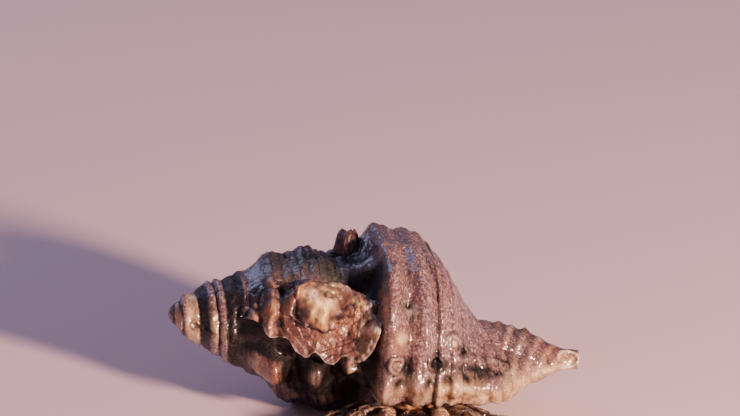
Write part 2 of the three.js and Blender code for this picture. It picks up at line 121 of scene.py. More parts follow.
def warts(points, cell, seed):
    # nearness (0 to 1) to the closest of many scattered spots, one to a cell
    p = np.asarray(points, float).reshape(-1, 3) / cell
    base = np.floor(p).astype(np.int64)
    best = np.full(len(p), 9.0)
    for step in np.ndindex(3, 3, 3):
        cells = base + np.array(step) - 1
        h = cellHash(cells, seed * 97531)
        jitter = np.stack([h & 1023, (h >> 10) & 1023, (h >> 20) & 1023], 1) / 1023 * 0.8 + 0.1
        best = np.minimum(best, np.linalg.norm(cells + jitter - p, axis=1))
    return np.clip(1 - best / 0.55, 0, 1).reshape(np.shape(points)[:-1])


def deselectAll():
    if bpy.context.object and bpy.context.object.mode != "OBJECT":
        bpy.ops.object.mode_set(mode="OBJECT")
    bpy.ops.object.select_all(action="DESELECT")


def gridPrimitive(name, columns, rows):
    # a flat grid, with the row and the column of each of its points
    deselectAll()
    bpy.ops.mesh.primitive_grid_add(x_subdivisions=columns - 1, y_subdivisions=rows - 1, size=2)
    piece = bpy.context.object
    piece.name = name
    flat = pointsOf(piece) * mm
    row = np.rint((flat[:, 1] + 1) / 2 * (rows - 1)).astype(int)
    column = np.rint((flat[:, 0] + 1) / 2 * (columns - 1)).astype(int)
    return piece, row, column


def closeSeams(mergeAt):
    # in edit mode: joins points that lie together and turns every face outwards
    bpy.ops.mesh.select_all(action="SELECT")
    bpy.ops.mesh.remove_doubles(threshold=mergeAt)
    bpy.ops.mesh.normals_make_consistent(inside=False)
    bpy.ops.object.mode_set(mode="OBJECT")
    bpy.ops.object.shade_smooth()


def gridPiece(name, places, marks=None):
    # a grid whose points are moved to places, a rows x columns x 3 array in mm
    piece, row, column = gridPrimitive(name, places.shape[1], places.shape[0])
    movePoints(piece, places[row, column])
    if marks is not None:
        addAttribute(piece, "marks", marks[row, column])
    bpy.ops.object.mode_set(mode="EDIT")
    closeSeams(0.01 * mm)
    return piece


def pointsOf(piece):
    co = np.empty(len(piece.data.vertices) * 3)
    piece.data.vertices.foreach_get("co", co)
    return co.reshape(-1, 3) / mm


def movePoints(piece, points):
    piece.data.vertices.foreach_set("co", (points * mm).ravel())
    piece.data.update()


def keepInBox(piece):
    low, high = (np.array(corner) / mm for corner in cadBox)
    movePoints(piece, np.clip(pointsOf(piece), low, high))


def addAttribute(piece, name, values):
    # three or four values for each point, which a material reads as a colour
    layer = piece.data.attributes.new(name, "FLOAT_COLOR", "POINT")
    values = np.asarray(values, float)
    if values.shape[1] == 3:
        values = np.concatenate([values, np.ones((len(values), 1))], 1)
    layer.data.foreach_set("color", values.ravel())


def paintMasks(piece, name, *masks):
    addAttribute(piece, name, np.clip(np.stack(masks, 1), 0, 1))


def applyModifier(piece, kind, **settings):
    deselectAll()
    bpy.context.view_layer.objects.active = piece
    piece.select_set(True)
    modifier = piece.modifiers.new("shape", kind)
    for key, value in settings.items():
        setattr(modifier, key, value)
    bpy.ops.object.modifier_apply(modifier=modifier.name)


def finishPiece(piece, material, nodes=()):
    piece.data.materials.clear()      # a cut or a remesh leaves an empty slot behind
    piece.data.materials.append(material)
    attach(piece, "root")
    if nodes:
        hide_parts(*nodes)


def addNode(tree, kind, settings=None, links=None, stops=()):
    # a link comes from another node's socket, a value or an sRGB hex colour; a colour ramp has stops
    node = tree.nodes.new(kind)
    for key, value in (settings or {}).items():
        setattr(node, key, value)
    for socket, source in (links or {}).items():
        if isinstance(source, bpy.types.NodeSocket):
            tree.links.new(source, node.inputs[socket])
        else:
            node.inputs[socket].default_value = linearColour(source) if isinstance(source, str) else source
    while stops and len(node.color_ramp.elements) < len(stops):
        node.color_ramp.elements.new(0.5)
    for index, (at, shade) in enumerate(stops):
        element = node.color_ramp.elements[index]
        element.position = at
        element.color = linearColour(shade) if isinstance(shade, str) else [shade] * 3 + [1]
    return node


def newMaterial(name, shader):
    material = bpy.data.materials.new(name)
    material.use_nodes = True
    tree = material.node_tree
    tree.nodes.clear()
    surface = addNode(tree, "ShaderNodeBsdfPrincipled", links=shader)
    addNode(tree, "ShaderNodeOutputMaterial", links={"Surface": surface.outputs[0]})
    return material, tree, surface


def buildMaterial(finish):
    # masks: attribute, then what its red, green, blue and alpha are called
    # patterns: mm of one spot, or mm each way along the piece's flow, then detail and roughness
    # base, layers and reads: a mask's name, a hex colour, or (a mask or pattern, its stops)
    # bumps and coatBumps: a pattern, strength, mm deep
    material, tree, surface = newMaterial(finish["name"], finish["shader"])
    place = addNode(tree, "ShaderNodeTexCoord").outputs["Object"]
    sockets = {}
    for attribute, names in finish.get("masks", {}).items():
        painted = addNode(tree, "ShaderNodeAttribute", {"attribute_name": attribute})
        parts = addNode(tree, "ShaderNodeSeparateColor", links={"Color": painted.outputs["Color"]})
        sockets.update(zip(names, [*parts.outputs, painted.outputs["Alpha"]]))
    for name, (size, detail, roughness) in finish["patterns"].items():
        vector, scale = place, 1.0
        if isinstance(size, tuple):
            flow = addNode(tree, "ShaderNodeAttribute", {"attribute_name": "flow"})
            repeats = [unit / each for unit, each in zip(finish["flowUnit"], size)]
            vector = addNode(tree, "ShaderNodeMapping", links={
                "Vector": flow.outputs["Color"], "Scale": (*repeats, 0)}).outputs[0]
        else:
            scale = 1 / (size * mm)
        sockets[name] = addNode(tree, "ShaderNodeTexNoise", links={
            "Vector": vector, "Scale": scale, "Detail": detail, "Roughness": roughness}).outputs["Fac"]

    def read(entry):
        if not isinstance(entry, tuple):
            return sockets.get(entry, entry)
        source, stops = entry
        return addNode(tree, "ShaderNodeValToRGB", links={"Fac": sockets[source]},
                       stops=stops).outputs["Color"]

    body = read(finish["base"])
    for where, colour in finish.get("layers", ()):
        body = addNode(tree, "ShaderNodeMix", {"data_type": "RGBA"}, {
            0: read(where), 6: body, 7: read(colour)}).outputs[2]
    tree.links.new(body, surface.inputs["Base Color"])
    for socket, entry in finish.get("reads", {}).items():
        tree.links.new(read(entry), surface.inputs[socket])
    for socket, bumps in (("Normal", "bumps"), ("Coat Normal", "coatBumps")):
        under = {}
        for pattern, strength, deep in finish.get(bumps, ()):
            bump = addNode(tree, "ShaderNodeBump", links={
                "Height": sockets[pattern], "Strength": strength, "Distance": deep * mm, **under})
            under = {"Normal": bump.outputs[0]}
        if under:
            tree.links.new(under["Normal"], surface.inputs[socket])
    return material


studio = {
    "elevation": 21.0,              # degrees above the floor
    "distance": 1000.0,             # mm, far enough to flatten the perspective as a long lens does
    "widthSeen": 139.6,             # mm across the frame at the shell
    "middle": (-0.77, 12.0, 39.9),  # mm, what the middle of the frame looks at
    "filmWidth": 36,                # mm
    "clip": (0.05, 20),             # m
    "floorSize": 6,                 # m
    "floor": "E4C6C8",              # pale, slightly rosy
    "room": "D0BEDC",               # cool fill from all round
    "roomStrength": 0.34,
    "lamps": {   # place and aim in mm, width in mm, watts, colour
        "warm key": [(430, -440, 190), (0, 10, 12), 80, 16.5, "FFD1BC"],
        "cool back fill": [(-350, 380, 420), (0, 10, 15), 500, 1.2, "BFC8FF"],
    },
}


def setCamera():
    data = bpy.data.cameras.new("camera")
    data.sensor_width = studio["filmWidth"]
    data.lens = data.sensor_width * studio["distance"] / studio["widthSeen"]
    data.clip_start, data.clip_end = studio["clip"]
    camera = bpy.data.objects.new("camera", data)
    bpy.context.scene.collection.objects.link(camera)
    tilt = math.radians(studio["elevation"])
    away = Vector((0, -math.cos(tilt), math.sin(tilt))) * studio["distance"]
    camera.location = (Vector(studio["middle"]) + away) * mm
    camera.rotation_euler = (math.pi / 2 - tilt, 0, 0)
    bpy.context.scene.camera = camera


def setLights():
    for name, (place, aimAt, size, power, colour) in studio["lamps"].items():
        data = bpy.data.lights.new(name, "AREA")
        data.shape = "DISK"
        data.size, data.energy = size * mm, power
        data.color = linearColour(colour)[:3]
        lamp = bpy.data.objects.new(name, data)
        bpy.context.scene.collection.objects.link(lamp)
        lamp.location = Vector(place) * mm
        lamp.rotation_euler = (Vector(aimAt) - Vector(place)).to_track_quat("-Z", "Y").to_euler()
    world = bpy.data.worlds.new("soft room light")
    world.use_nodes = True
    background = world.node_tree.nodes["Background"]
    background.inputs["Color"].default_value = linearColour(studio["room"])
    background.inputs["Strength"].default_value = studio["roomStrength"]
    bpy.context.scene.world = world


def layFloor():
    deselectAll()
    bpy.ops.mesh.primitive_plane_add(size=studio["floorSize"], location=(0, 0, 0))
    floor = bpy.context.object
    floor.name = "floor"
    # uncoated card: matt all over, so that only the object catches the light
    floor.data.materials.append(newMaterial("matt studio card", {
        "Roughness": 0.9, "Base Color": studio["floor"]})[0])


setCamera()
layFloor()
setLights()
print("camera, floor and lights are set")


shell = {
    "length": 78.6,
    "apex": (-39.07, 10.175, 19.2),
    "axis": (0.991, 0.092, -0.094),
    "upright": (0, 0.358, 0.934),     # the side of the shell from which its turns are counted
    "canalLean": (0.92, 0.39),        # how the canal's bend shares out downwards and forwards
    "noseLength": 2.2,
    "noseRadius": 2.7,
    "firstTurn": -4.4,
    "lipTurn": 130 / 360,             # turns past the top where the outer lip ends
    "mouthTurn": 28 / 360,            # where the hollow under the lip starts
    "mouth": (33, 62.5),              # mm along the shell
    "wall": 1.5,
    "slit": (57, 79.4),               # mm along the shell
    "slitHalf": (1.5, 0.75),
    "stepsAlong": 292,
    "stepsRound": 318,
    "stepPower": 0.93,                # below 1: finer steps towards the apex
}

along = np.array(shell["axis"]) / np.linalg.norm(shell["axis"])
upward = np.array(shell["upright"]) - along * np.dot(shell["upright"], along)
upward = upward / np.linalg.norm(upward)
frontward = np.cross(along, upward)
lipAngle = shell["lipTurn"] * fullTurn
lipPassed = lipAngle + 1e-4

canalBend = curveThrough([[44, 0], [54, 2.6], [62, 4.8], [68, 5.4], [80, 5.1]])
keelPlace = curveThrough([
    [-4.5, 0.4], [-4, 2.0], [-3.5, 3.4], [-3, 5.6], [-2.5, 7.8], [-2, 11.4], [-1.6, 12.4],
    [-1.25, 16.6], [-1, 18.0], [-0.64, 20.4], [-0.44, 25.0], [-0.25, 32.5], [0, 38.4], [0.37, 40.0]])
keelRadius = curveThrough([
    [-4.5, 0.6], [-4, 2.3], [-3, 4.9], [-2, 8.3], [-1, 11.9], [-0.5, 14.8], [0, 18.0], [0.2, 20.2],
    [0.36, 22.6]])
slopeBack = curveThrough([[-1.6, 0.2], [-1, 0.66], [-0.62, 0.75], [-0.36, 0.84], [-0.12, 0.97], [0, 1]])
slopeFront = curveThrough([
    [0, 1], [2.4, 1.0], [6.8, 0.97], [11.6, 0.82], [13.6, 0.7], [15.6, 0.56], [17.6, 0.43],
    [20, 0.31], [22.4, 0.25], [30, 0.16], [36, 0.05]])
lipFront = curveThrough([
    [0, 1], [3.5, 1], [7, 0.96], [13.5, 0.81], [19, 0.7], [23, 0.6], [26, 0.46], [29, 0.28], [32, 0.12],
    [35, 0.04]])
bandFront = curveThrough([
    [0, 1], [3, 1.03], [7, 1.13], [11, 1.08], [13, 1.02], [15, 0.9], [17, 0.74], [19, 0.58],
    [22, 0.4], [26, 0.28], [31, 0.2], [37, 0.05]])
canalRadius = curveThrough([
    [50, 2], [55, 4.8], [60, 5.6], [64, 5.6], [67.4, 5.15], [69.3, 4.6], [71, 4.0], [73, 3.05], [75, 2.25],
    [76.5, 2.0], [78.5, 1.9]])
# knobs on the keel: [turn, how much of a turn wide]
knobs = [[turn, 0.042] for turn in (-1.13, -0.97, -0.8, -0.62, -0.45, -0.28, -0.13, 0)] + [[0.22, 0.085]]


def shellPlace(s, angle, radius):
    down, forwards = shell["canalLean"]
    bend = canalBend(s)
    up = np.cos(angle) * radius - bend * down
    out = np.sin(angle) * radius + bend * forwards
    return (np.array(shell["apex"]) + np.multiply.outer(s, along)
            + up[..., None] * upward + out[..., None] * frontward)


def shellCoordinates(points):
    # the other way: where points in mm lie along and round the shell, and how far out
    down, forwards = shell["canalLean"]
    local = points - np.array(shell["apex"])
    s = local @ along
    bend = canalBend(s)
    up = local @ upward + bend * down
    out = local @ frontward - bend * forwards
    return s, np.mod(np.arctan2(out, up), fullTurn), np.hypot(up, out)


def knobRise(s, turn, keel, size):
    rise = np.zeros_like(s)
    for knob, wide in knobs:
        nearTurn = np.exp(-((turn - knob) / wide) ** 2)
        rise += nearTurn * (1.5 * np.exp(-((s - keel) / 2.3) ** 2)
                            + 0.7 * np.exp(-((s - keel - 7) / 2.2) ** 2)) * size
    return rise


def whorlRadius(s, turn):
    keel, radius = keelPlace(turn), keelRadius(turn)
    pitch = np.clip(keel - keelPlace(turn - 1), 1.4, 8.5)
    offset = s - keel
    isLast = smoothStep(-0.42, -0.12, turn)
    last = slopeFront(offset) + (lipFront(offset) - slopeFront(offset)) * smoothStep(0.18, 0.33, turn)
    ahead = bandFront(offset) + (last - bandFront(offset)) * isLast
    share = np.where(offset < 0, slopeBack(offset / pitch), ahead)
    return radius * share + knobRise(s, turn, keel, radius / keelRadius(0.0))


def topWhorl(s, angle):
    # the outer radius, with the turn of the whorl that shows there (or 9 on the canal)
    best = canalRadius(s)
    turnShown = np.full_like(s, 9.0)
    for back in range(6):
        turn = angle / fullTurn - back
        radius = whorlRadius(s, turn)
        usable = (turn > shell["firstTurn"]) & ~((angle > lipPassed) & (back == 0))
        better = usable & (radius > best)
        best = np.where(better, radius, best)
        turnShown = np.where(better, turn, turnShown)
    nose = shell["noseRadius"] * np.sqrt(np.clip(s / shell["noseLength"], 0, 1))
    return np.where(s < shell["noseLength"], np.minimum(best, nose), best), turnShown


# listed marks, here and below: [along mm, degrees round, size mm, rise mm or strength, stretch along]
shellRelief = {
    "blocks": [   # flat-topped, with steep sides
        [18.0, 130, 3.4, 2.6], [27.0, 127, 2.4, 2.5], [42.0, 95, 1.7, 1.0], [21.8, 158, 2.8, 1.2],
        [38.2, 121, 2.3, 1.1], [45.6, 117, 1.8, 0.9], [50.0, 119, 1.3, 0.7], [53.4, 117, 2.0, 1.0],
        [57.0, 116, 1.6, 0.9], [60.4, 113, 1.9, 1.1], [33.4, 121, 1.3, 1.1], [35.6, 131, 1.6, 0.8],
        [33.0, 138, 1.2, 0.7],
    ],
    "lumps": [
        [28.0, 139, 1.6, 1.2], [64.2, 118, 1.6, 0.5], [40.8, 62, 2.4, 0.45],
        [31.2, 246, 3.0, 1.1], [34.5, 292, 3.2, 1.0], [41.8, 300, 2.6, 0.7], [48.0, 330, 2.4, 0.5],
        [47.5, 12, 2.0, 0.35], [24.8, 12, 1.7, 0.6], [29.5, 355, 2.0, 0.7], [12.0, 30, 1.2, 0.3],
        [38.9, 40, 2.0, 0.5], [38.2, 50, 1.6, 0.4], [39.4, 64, 1.7, 0.5], [39.6, 84, 2.2, 0.35],
        [64.0, 8, 1.8, 0.45], [67.6, 14, 1.6, 0.4], [70.2, 20, 1.3, 0.3], [60.5, 2, 1.8, 0.35],
        [19.2, 20, 1.5, 0.5], [15.6, 18, 1.3, 0.4], [22.4, 48, 1.3, 0.4], [42.7, 4, 1.6, 0.35],
        [36.2, 4, 2.2, 1.2], [39.1, 2, 1.7, -1.3], [71.6, 122, 3.4, 1.6], [74.6, 112, 1.8, 1.2],
    ],
    "hollows": [
        [35.2, 61, 2.7, 2.2], [36.6, 55, 1.9, 1.2], [34.6, 30, 2.4, 0.9], [56.8, 105, 1.8, 1.3],
        [62.2, 103, 2.0, 1.0], [60.0, 99, 1.3, 0.7], [43.6, 112, 1.1, 1.1], [42.2, 118, 1.2, 1.1],
        [48.0, 117, 1.0, 1.1], [51.4, 114, 0.9, 0.9], [55.2, 112, 0.9, 0.9], [58.7, 111, 0.9, 0.9],
        [43.1, 78, 0.8, 0.9], [13.2, 100, 1.8, 0.6], [30.6, 128, 2.0, 1.5], [23.2, 128, 2.0, 1.6],
        [24.0, 140, 2.2, 1.2], [36.6, 116, 1.5, 1.3], [34.7, 127, 1.3, 1.1], [37.6, 108, 1.2, 1.0],
        [30.5, 320, 1.6, 0.7], [26.0, 25, 1.5, 0.5], [52.0, 300, 1.5, 0.4], [31.0, 138, 1.8, 1.1],
        [20.8, 62, 1.5, 1.1], [65.0, 108, 1.3, 0.5], [28.0, 10, 1.4, 0.5], [21.8, 15, 1.3, 0.5],
    ],
    # rings where barnacles sat: [along, degrees, ring radius, rise, pit, dark ring, dark middle, pale middle]
    "scars": [
        [41.4, 108, 1.3, 0.45, 0.2, 0.9, 0.0, 0.7], [49.1, 106, 1.35, 0.4, 0.8, 0.8, 1.0, 0.0],
        [54.5, 95, 0.8, 0.35, 1.0, 0.6, 1.0, 0.0], [52.6, 92, 1.5, 0.3, 0.0, 0.5, 0.0, 0.7],
        [45.0, 200, 1.5, 0.4, 0.4, 0.6, 0.3, 0.0], [38.0, 318, 1.6, 0.45, 0.5, 0.6, 0.3, 0.3],
        [46.5, 340, 1.3, 0.35, 0.5, 0.6, 0.5, 0.0], [22.5, 300, 1.3, 0.4, 0.4, 0.6, 0.4, 0.0],
        [33.5, 270, 1.7, 0.4, 0.5, 0.6, 0.2, 0.4], [68.0, 20, 0.8, 0.25, 0.3, 0.4, 0.4, 0.0],
        [28.8, 215, 1.1, 0.3, 0.4, 0.5, 0.5, 0.0], [5.0, 113, 0.75, 0.4, 0.2, 0.3, 0.6, 0.0],
        [6.9, 112, 0.7, 0.4, 0.2, 0.3, 0.6, 0.0], [8.4, 118, 0.6, 0.3, 0.1, 0.3, 0.2, 0.0],
    ],
    "scarWidth": 0.34,
    "canalMouth": [76.6, 86],
}

# relief of the spire along the axis, and its dark bands, the sutures' own dark lines with painted shade on
# the slopes that face away from the light, as they run over its front
spireRise = curveThrough([
    [0, 0], [0.7, 0.1], [0.95, -0.2], [1.2, 0.15], [2.1, 0.12], [2.4, -0.35], [2.8, 0.16], [4.2, 0.26],
    [5.2, 0.14], [5.6, -0.4], [6.1, -0.25], [7.0, -0.15], [7.4, 0.2], [8.0, 0.5], [8.7, 0.2], [9.0, -0.35],
    [9.3, 0.3], [9.8, 0.5], [10.3, 0.1], [10.7, -0.6], [12.2, -0.8], [13.4, -0.5], [14.0, 0.1], [16, 0]])
spireSuturesAndShade = curveThrough([
    [0, 0.1], [0.75, 0], [0.95, 0.8], [1.15, 0], [2.1, 0], [2.4, 1], [2.7, 0], [5.3, 0], [5.6, 1],
    [6.4, 0.9], [7.0, 0.7], [7.4, 0.1], [8.7, 0.1], [9.0, 1], [9.3, 0.1], [10.3, 0.1], [10.6, 0.9],
    [11.5, 1], [13.4, 1], [13.8, 0.7], [14.3, 0.1], [16, 0]])
spireAdvance = curveThrough([[0, 1.2], [3, 3.4], [7, 4.6], [12, 5.6], [18, 7.5]])
# relief across the last whorl by mm from its keel: the ridge, the broad band, the sharp groove, fine cords
bandRelief = curveThrough([
    [-8, 0], [-5, -0.6], [-3.6, -1.5], [-2.3, -1.5], [-1.5, 0.2], [-0.7, 1.1], [0.6, 1.3], [1.8, 0.9],
    [3.0, -0.9], [3.8, -1.4], [4.8, -0.5], [6.2, 0.6], [8.0, 0.35], [9.2, -1.0], [9.9, 0.35], [11.0, 0.5],
    [11.8, -0.5], [12.6, 0.3], [14, 0]])

turnTable = np.linspace(-6, 0.6, 1400)
arcTable = np.cumsum(fullTurn * keelRadius(turnTable)) * (turnTable[1] - turnTable[0])


def near(s, angle, radius, spot, stretch=1.0):
    # distance in mm over the surface from a spot given along and in degrees
    away = np.mod(angle - math.radians(spot[1]) + math.pi, fullTurn) - math.pi
    return np.hypot((s - spot[0]) * stretch, away * np.maximum(radius, 3))


def addSpots(field, s, angle, radius, spots):
    for at, degrees, size, strength, *stretch in spots:
        field = field + strength * np.exp(-(near(s, angle, radius, (at, degrees), *stretch) / size) ** 2)
    return field


def scarFields(s, angle, radius, crust):
    # the rings of old barnacles: how they rise and sink, and where they are dark or pale
    ring, pit, dark, pale = (np.zeros(s.shape) for _ in range(4))
    wide = shellRelief["scarWidth"]
    for at, degrees, size, rise, sink, darkRing, darkMiddle, paleMiddle in shellRelief["scars"]:
        d = near(s, angle, radius, (at, degrees)) * (1 + 0.2 * crust)
        ring = ring + rise * np.exp(-((d - size) / wide) ** 2)
        pit = pit + sink * np.exp(-(d / (size * 0.62)) ** 2)
        ring = ring - 0.35 * rise * np.exp(-((d - size * 1.5) / 0.3) ** 2)
        dark = (dark + darkRing * np.exp(-((d - size * 1.4) / 0.22) ** 2)
                + darkRing * np.exp(-((d - size * 0.66) / 0.18) ** 2)
                + darkMiddle * np.exp(-(d / (size * 1.05)) ** 4))
        pale = pale + paleMiddle * np.exp(-(d / (size * 0.42)) ** 2)
    return ring, pit, dark, pale


def shellFields(s, angle):
    # the worn surface: how far it stands off the plain form, and what marks it
    radius, turn = topWhorl(s, angle)
    lastTurn = angle / fullTurn - np.where(angle > lipPassed, 1, 0)
    turn = np.where(turn > 5, lastTurn, turn)
    keel = keelPlace(turn)
    offset = s - keel
    scale = np.clip(radius / 14, 0.25, 1)
    flow = np.stack([offset, np.interp(turn, turnTable, arcTable), turn * 0], -1)
    spot = shellPlace(s, angle, radius)
    streak = layeredNoise(flow / [0.42, 7.0, 1], 1.0, 20, 2)
    growth = layeredNoise(flow / [4.5, 0.36, 1], 1.0, 31, 2)
    ripple = layeredNoise((flow + [0, 0, 9]) / [6.0, 2.2, 1], 1.0, 47, 2)
    crust = layeredNoise(spot, 1.1, 60, 3)
    lump = layeredNoise(spot, 4.2, 80, 2)
    broken = 0.75 + 0.25 * latticeNoise(flow / [2.0, 3.0, 1], 1.0, 9)

    # cords and grooves that run round with the growth of the shell
    period = 1.35 + 0.018 * keel
    wobble = 0.2 * latticeNoise(flow / [3.0, 9.0, 1], 1.0, 3)
    twist = 9.0 * smoothStep(13, 24, offset) * (lastTurn - 0.1) * (lastTurn > -0.5)
    onLast = smoothStep(-0.2, -0.02, lastTurn) * (s > 31) * (turn == lastTurn)
    phase = (offset + wobble - twist) / period
    groove = np.exp(-(np.sin(math.pi * phase) / 0.17) ** 2)
    groove = groove * (1 - onLast * (1 - smoothStep(10.5, 13, offset)))
    cord = 0.5 + 0.5 * np.cos(fullTurn * (phase - 0.5))
    fine = 0.5 + 0.5 * np.cos(fullTurn * phase * 3.0 + 1.3)
    swing = np.mod(angle - math.pi / 2 + math.pi, fullTurn) / fullTurn - 0.5
    onSpire = (1 - smoothStep(14.5, 16.5, s)) * (1 - smoothStep(0.24, 0.48, np.abs(swing)))
    seen = s - spireAdvance(s) * swing + 0.5 * wobble + 0.1 * crust * smoothStep(5, 8, s)
    cordDepth = 0.3 * scale * (0.45 + 0.55 * smoothStep(1.5, 6, offset)) * (1 - onSpire) * broken
    rise = cordDepth * (0.55 * cord - 1.0 * groove) + 0.05 * scale * fine
    rise = rise + spireRise(seen) * onSpire * (0.8 + 0.5 * lump + 0.6 * crust)

    # slanting weals on the canal, and the ridged bands of the last whorl
    weal = (0.5 + 0.5 * np.cos(fullTurn * (s - 65.1 + 2.0 * (angle - 0.35) + 0.4 * wobble) / 2.9)) ** 2
    weal = weal * smoothStep(60, 64, s) * (1 - smoothStep(1.75, 2.2, angle))
    rise = rise + weal * (0.38 + 0.3 * crust)
    spread = 1 + 0.4 * (1 - smoothStep(0.0, 0.22, lastTurn))
    ridged = 0.25 + 0.75 * smoothStep(0.07, 0.15, lastTurn)
    rise = rise + bandRelief(offset * spread + 0.6 * wobble) * onLast * broken * ridged
    rise = rise + 0.16 * crust * onLast * (1 - smoothStep(24, 30, offset))
    sharpGroove = np.exp(-((offset + 0.6 * wobble - 9.2) / 0.3) ** 2) * onLast

    # the trough under the oyster valve, and wear all over
    trough = np.exp(-((np.degrees(angle) - 117) / 6.5) ** 2)
    trough = trough * smoothStep(12.5, 15, s) * (1 - smoothStep(30, 33, s))
    rise = rise - 0.9 * trough
    rise = rise + scale * (0.12 * streak + 0.06 * growth + 0.16 * ripple + 0.38 * lump)
    fromTop = np.abs(np.mod(angle + math.pi, fullTurn) - math.pi - 0.25)
    roughTop = (smoothStep(15, 19, s) * (1 - smoothStep(30, 36, s))
                * (1 - smoothStep(0.3, 1.0, fromTop)))
    rise = rise + crust * (0.13 * scale + 0.30 * roughTop)
    for at, degrees, size, high in shellRelief["blocks"]:
        d = near(s, angle, radius, (at, degrees)) * (1 + 0.15 * lump)
        rise = rise + high * np.exp(-(d / size) ** 4)
    rise = addSpots(rise, s, angle, radius, shellRelief["lumps"])
    sunk = addSpots(np.zeros(s.shape), s, angle, radius, shellRelief["hollows"])
    ring, pit, scarDark, scarPale = scarFields(s, angle, radius, crust)

    # a raised band beside the outer lip, with a ditch before it
    lastWhorl = (lastTurn > 0) & (s > 33)
    band = np.exp(-((lastTurn - 0.337) / 0.017) ** 2) * lastWhorl
    ditch = np.exp(-((lastTurn - 0.296) / 0.011) ** 2) * lastWhorl * smoothStep(45, 52, s)
    ditch = ditch * (1 - smoothStep(59, 63, s))
    rise = rise + 0.55 * band * (0.6 + 0.4 * cord) - 0.5 * ditch * (0.4 + 0.6 * (1 - cord))
    rise = rise - sunk + ring - pit
    rise = rise * smoothStep(0.0, 3.0, s) * (1 - 0.75 * smoothStep(66, 76, s))
    canalMouth = np.exp(-(near(s, angle, radius, shellRelief["canalMouth"], 1.4) / 2.3) ** 4)
    rise = rise - 0.9 * canalMouth
    return radius + rise, {
        "turn": turn, "offset": offset, "spireBand": spireSuturesAndShade(seen) * onSpire, "groove": groove,
        "sharpGroove": sharpGroove, "trough": trough, "roughTop": roughTop, "band": band, "ditch": ditch,
        "weal": weal, "canalMouth": canalMouth, "sunk": sunk, "ring": ring, "pit": pit,
        "scarDark": scarDark, "scarPale": scarPale,
        "streak": streak, "ripple": ripple, "crust": crust, "lump": lump}


def lipJag(s):
    # how the worn edge of the outer lip wanders, in radians
    line = np.stack([s, np.zeros(len(s)), np.zeros(len(s))], 1)
    fineJag = layeredNoise(line, 1.6, 5, 3) * 0.024
    return fineJag - 0.03 * np.exp(-((s - 35.5) / 1.5) ** 2) + 0.012 * np.sin(s * 0.9)


def closedAtEnds(rows):
    # rows of rings with a single point added at either end
    first, last = (np.repeat(row.mean(0)[None], rows.shape[1], 0) for row in (rows[0], rows[-1]))
    return np.concatenate([first[None], rows, last[None]])


def shellRows():
    power, columns = shell["stepPower"], shell["stepsRound"]
    stops = np.linspace(0.18, shell["length"] ** power, shell["stepsAlong"]) ** (1 / power)
    stops = np.minimum(stops, shell["length"])
    sweep = lipAngle + 0.004 + (fullTurn - 0.004) * np.linspace(0, 1, columns)
    angle = np.where(sweep > fullTurn, sweep - fullTurn, sweep)
    angle[-1] = lipAngle
    s, a = np.meshgrid(stops, angle, indexing="ij")
    radius, _ = shellFields(s, a)
    fromLip = np.minimum(np.abs(sweep - lipAngle), np.abs(sweep - lipAngle - fullTurn))
    shift = lipJag(stops)[:, None] * np.exp(-(fromLip / 0.16) ** 2)[None, :]
    shift = shift * smoothStep(31, 34, s) * (1 - smoothStep(66, 72, s))
    places = shellPlace(s, a + shift, radius)
    # the canal's open end, turned in: mm along and share of the end's radius
    inside = [(78.62, 0.9), (78.55, 0.75), (78.35, 0.55), (78.1, 0.3), (78.05, 0.0)]
    ends = [shellPlace(np.full(columns, at), a[-1], radius[-1] * share) for at, share in inside]
    start = shellPlace(np.zeros(columns), a[0], np.zeros(columns))
    places = np.concatenate([start[None], places, np.array(ends)])
    return np.concatenate([places, places[:, :1]], axis=1)


def mouthRows():
    # the hollow under the lip: between the outer wall and the whorl before it
    first, last = shell["mouth"]
    centre = 47
    stops = np.linspace(first, last, 44)
    shares = np.concatenate([np.linspace(0, 0.3, 10)[:-1], np.linspace(0.3, 1, 26), [1.06, 1.14]])
    ends = np.sin(math.pi * np.clip((stops - (first - 1)) / (last - first + 2), 0, 1)) ** 0.5
    rows = []
    for share in shares:
        turn = shell["mouthTurn"] + (shell["lipTurn"] - shell["mouthTurn"]) * share
        deep = math.sqrt(min(1, share / 0.3)) * 0.96 + 0.04
        s = centre + (stops - centre) * deep
        angle = np.full_like(s, turn * fullTurn)
        outer, _ = topWhorl(s, np.minimum(angle, lipAngle))
        wall = outer - shell["wall"] * (1 - 0.45 * smoothStep(0.9, 1.0, share))
        before = np.maximum(whorlRadius(s, angle / fullTurn - 1), canalRadius(s) * 0.35)
        before = np.maximum(before, 3.4) + 0.8
        high = np.maximum(before + 0.35, before + (wall - before) * deep * ends)
        ridges = 0.12 * np.sin(s * 3.4) * smoothStep(0.75, 1.0, share)
        ring = np.concatenate([shellPlace(s, angle, high + ridges), shellPlace(s, angle, before)[::-1]])
        rows.append(np.concatenate([ring, ring[:1]]))
    return closedAtEnds(np.array(rows))


def slitRows():
    # the canal's open slit on the underside, from the mouth to the tip
    first, last = shell["slit"]
    wide, narrow = shell["slitHalf"]
    turns = np.linspace(0, fullTurn, 25)
    rows = []
    for s in np.linspace(first, last, 40):
        half = wide + (narrow - wide) * (s - first) / 22
        radius = float(canalRadius(s))
        angle = lipAngle + 0.12 + 0.63 * float(smoothStep(57, 71, s))
        side = np.cos(angle + math.pi / 2) * upward + np.sin(angle + math.pi / 2) * frontward
        reach = radius * 0.55 + np.cos(turns) * radius * 0.62
        middle = shellPlace(np.full(25, s), np.full(25, angle), reach)
        rows.append(middle + np.multiply.outer(half * np.sin(turns), side))
    return closedAtEnds(np.array(rows))


def cutAway(piece, tool):
    applyModifier(piece, "BOOLEAN", object=tool, operation="DIFFERENCE", solver="MANIFOLD")
    bpy.data.objects.remove(tool)
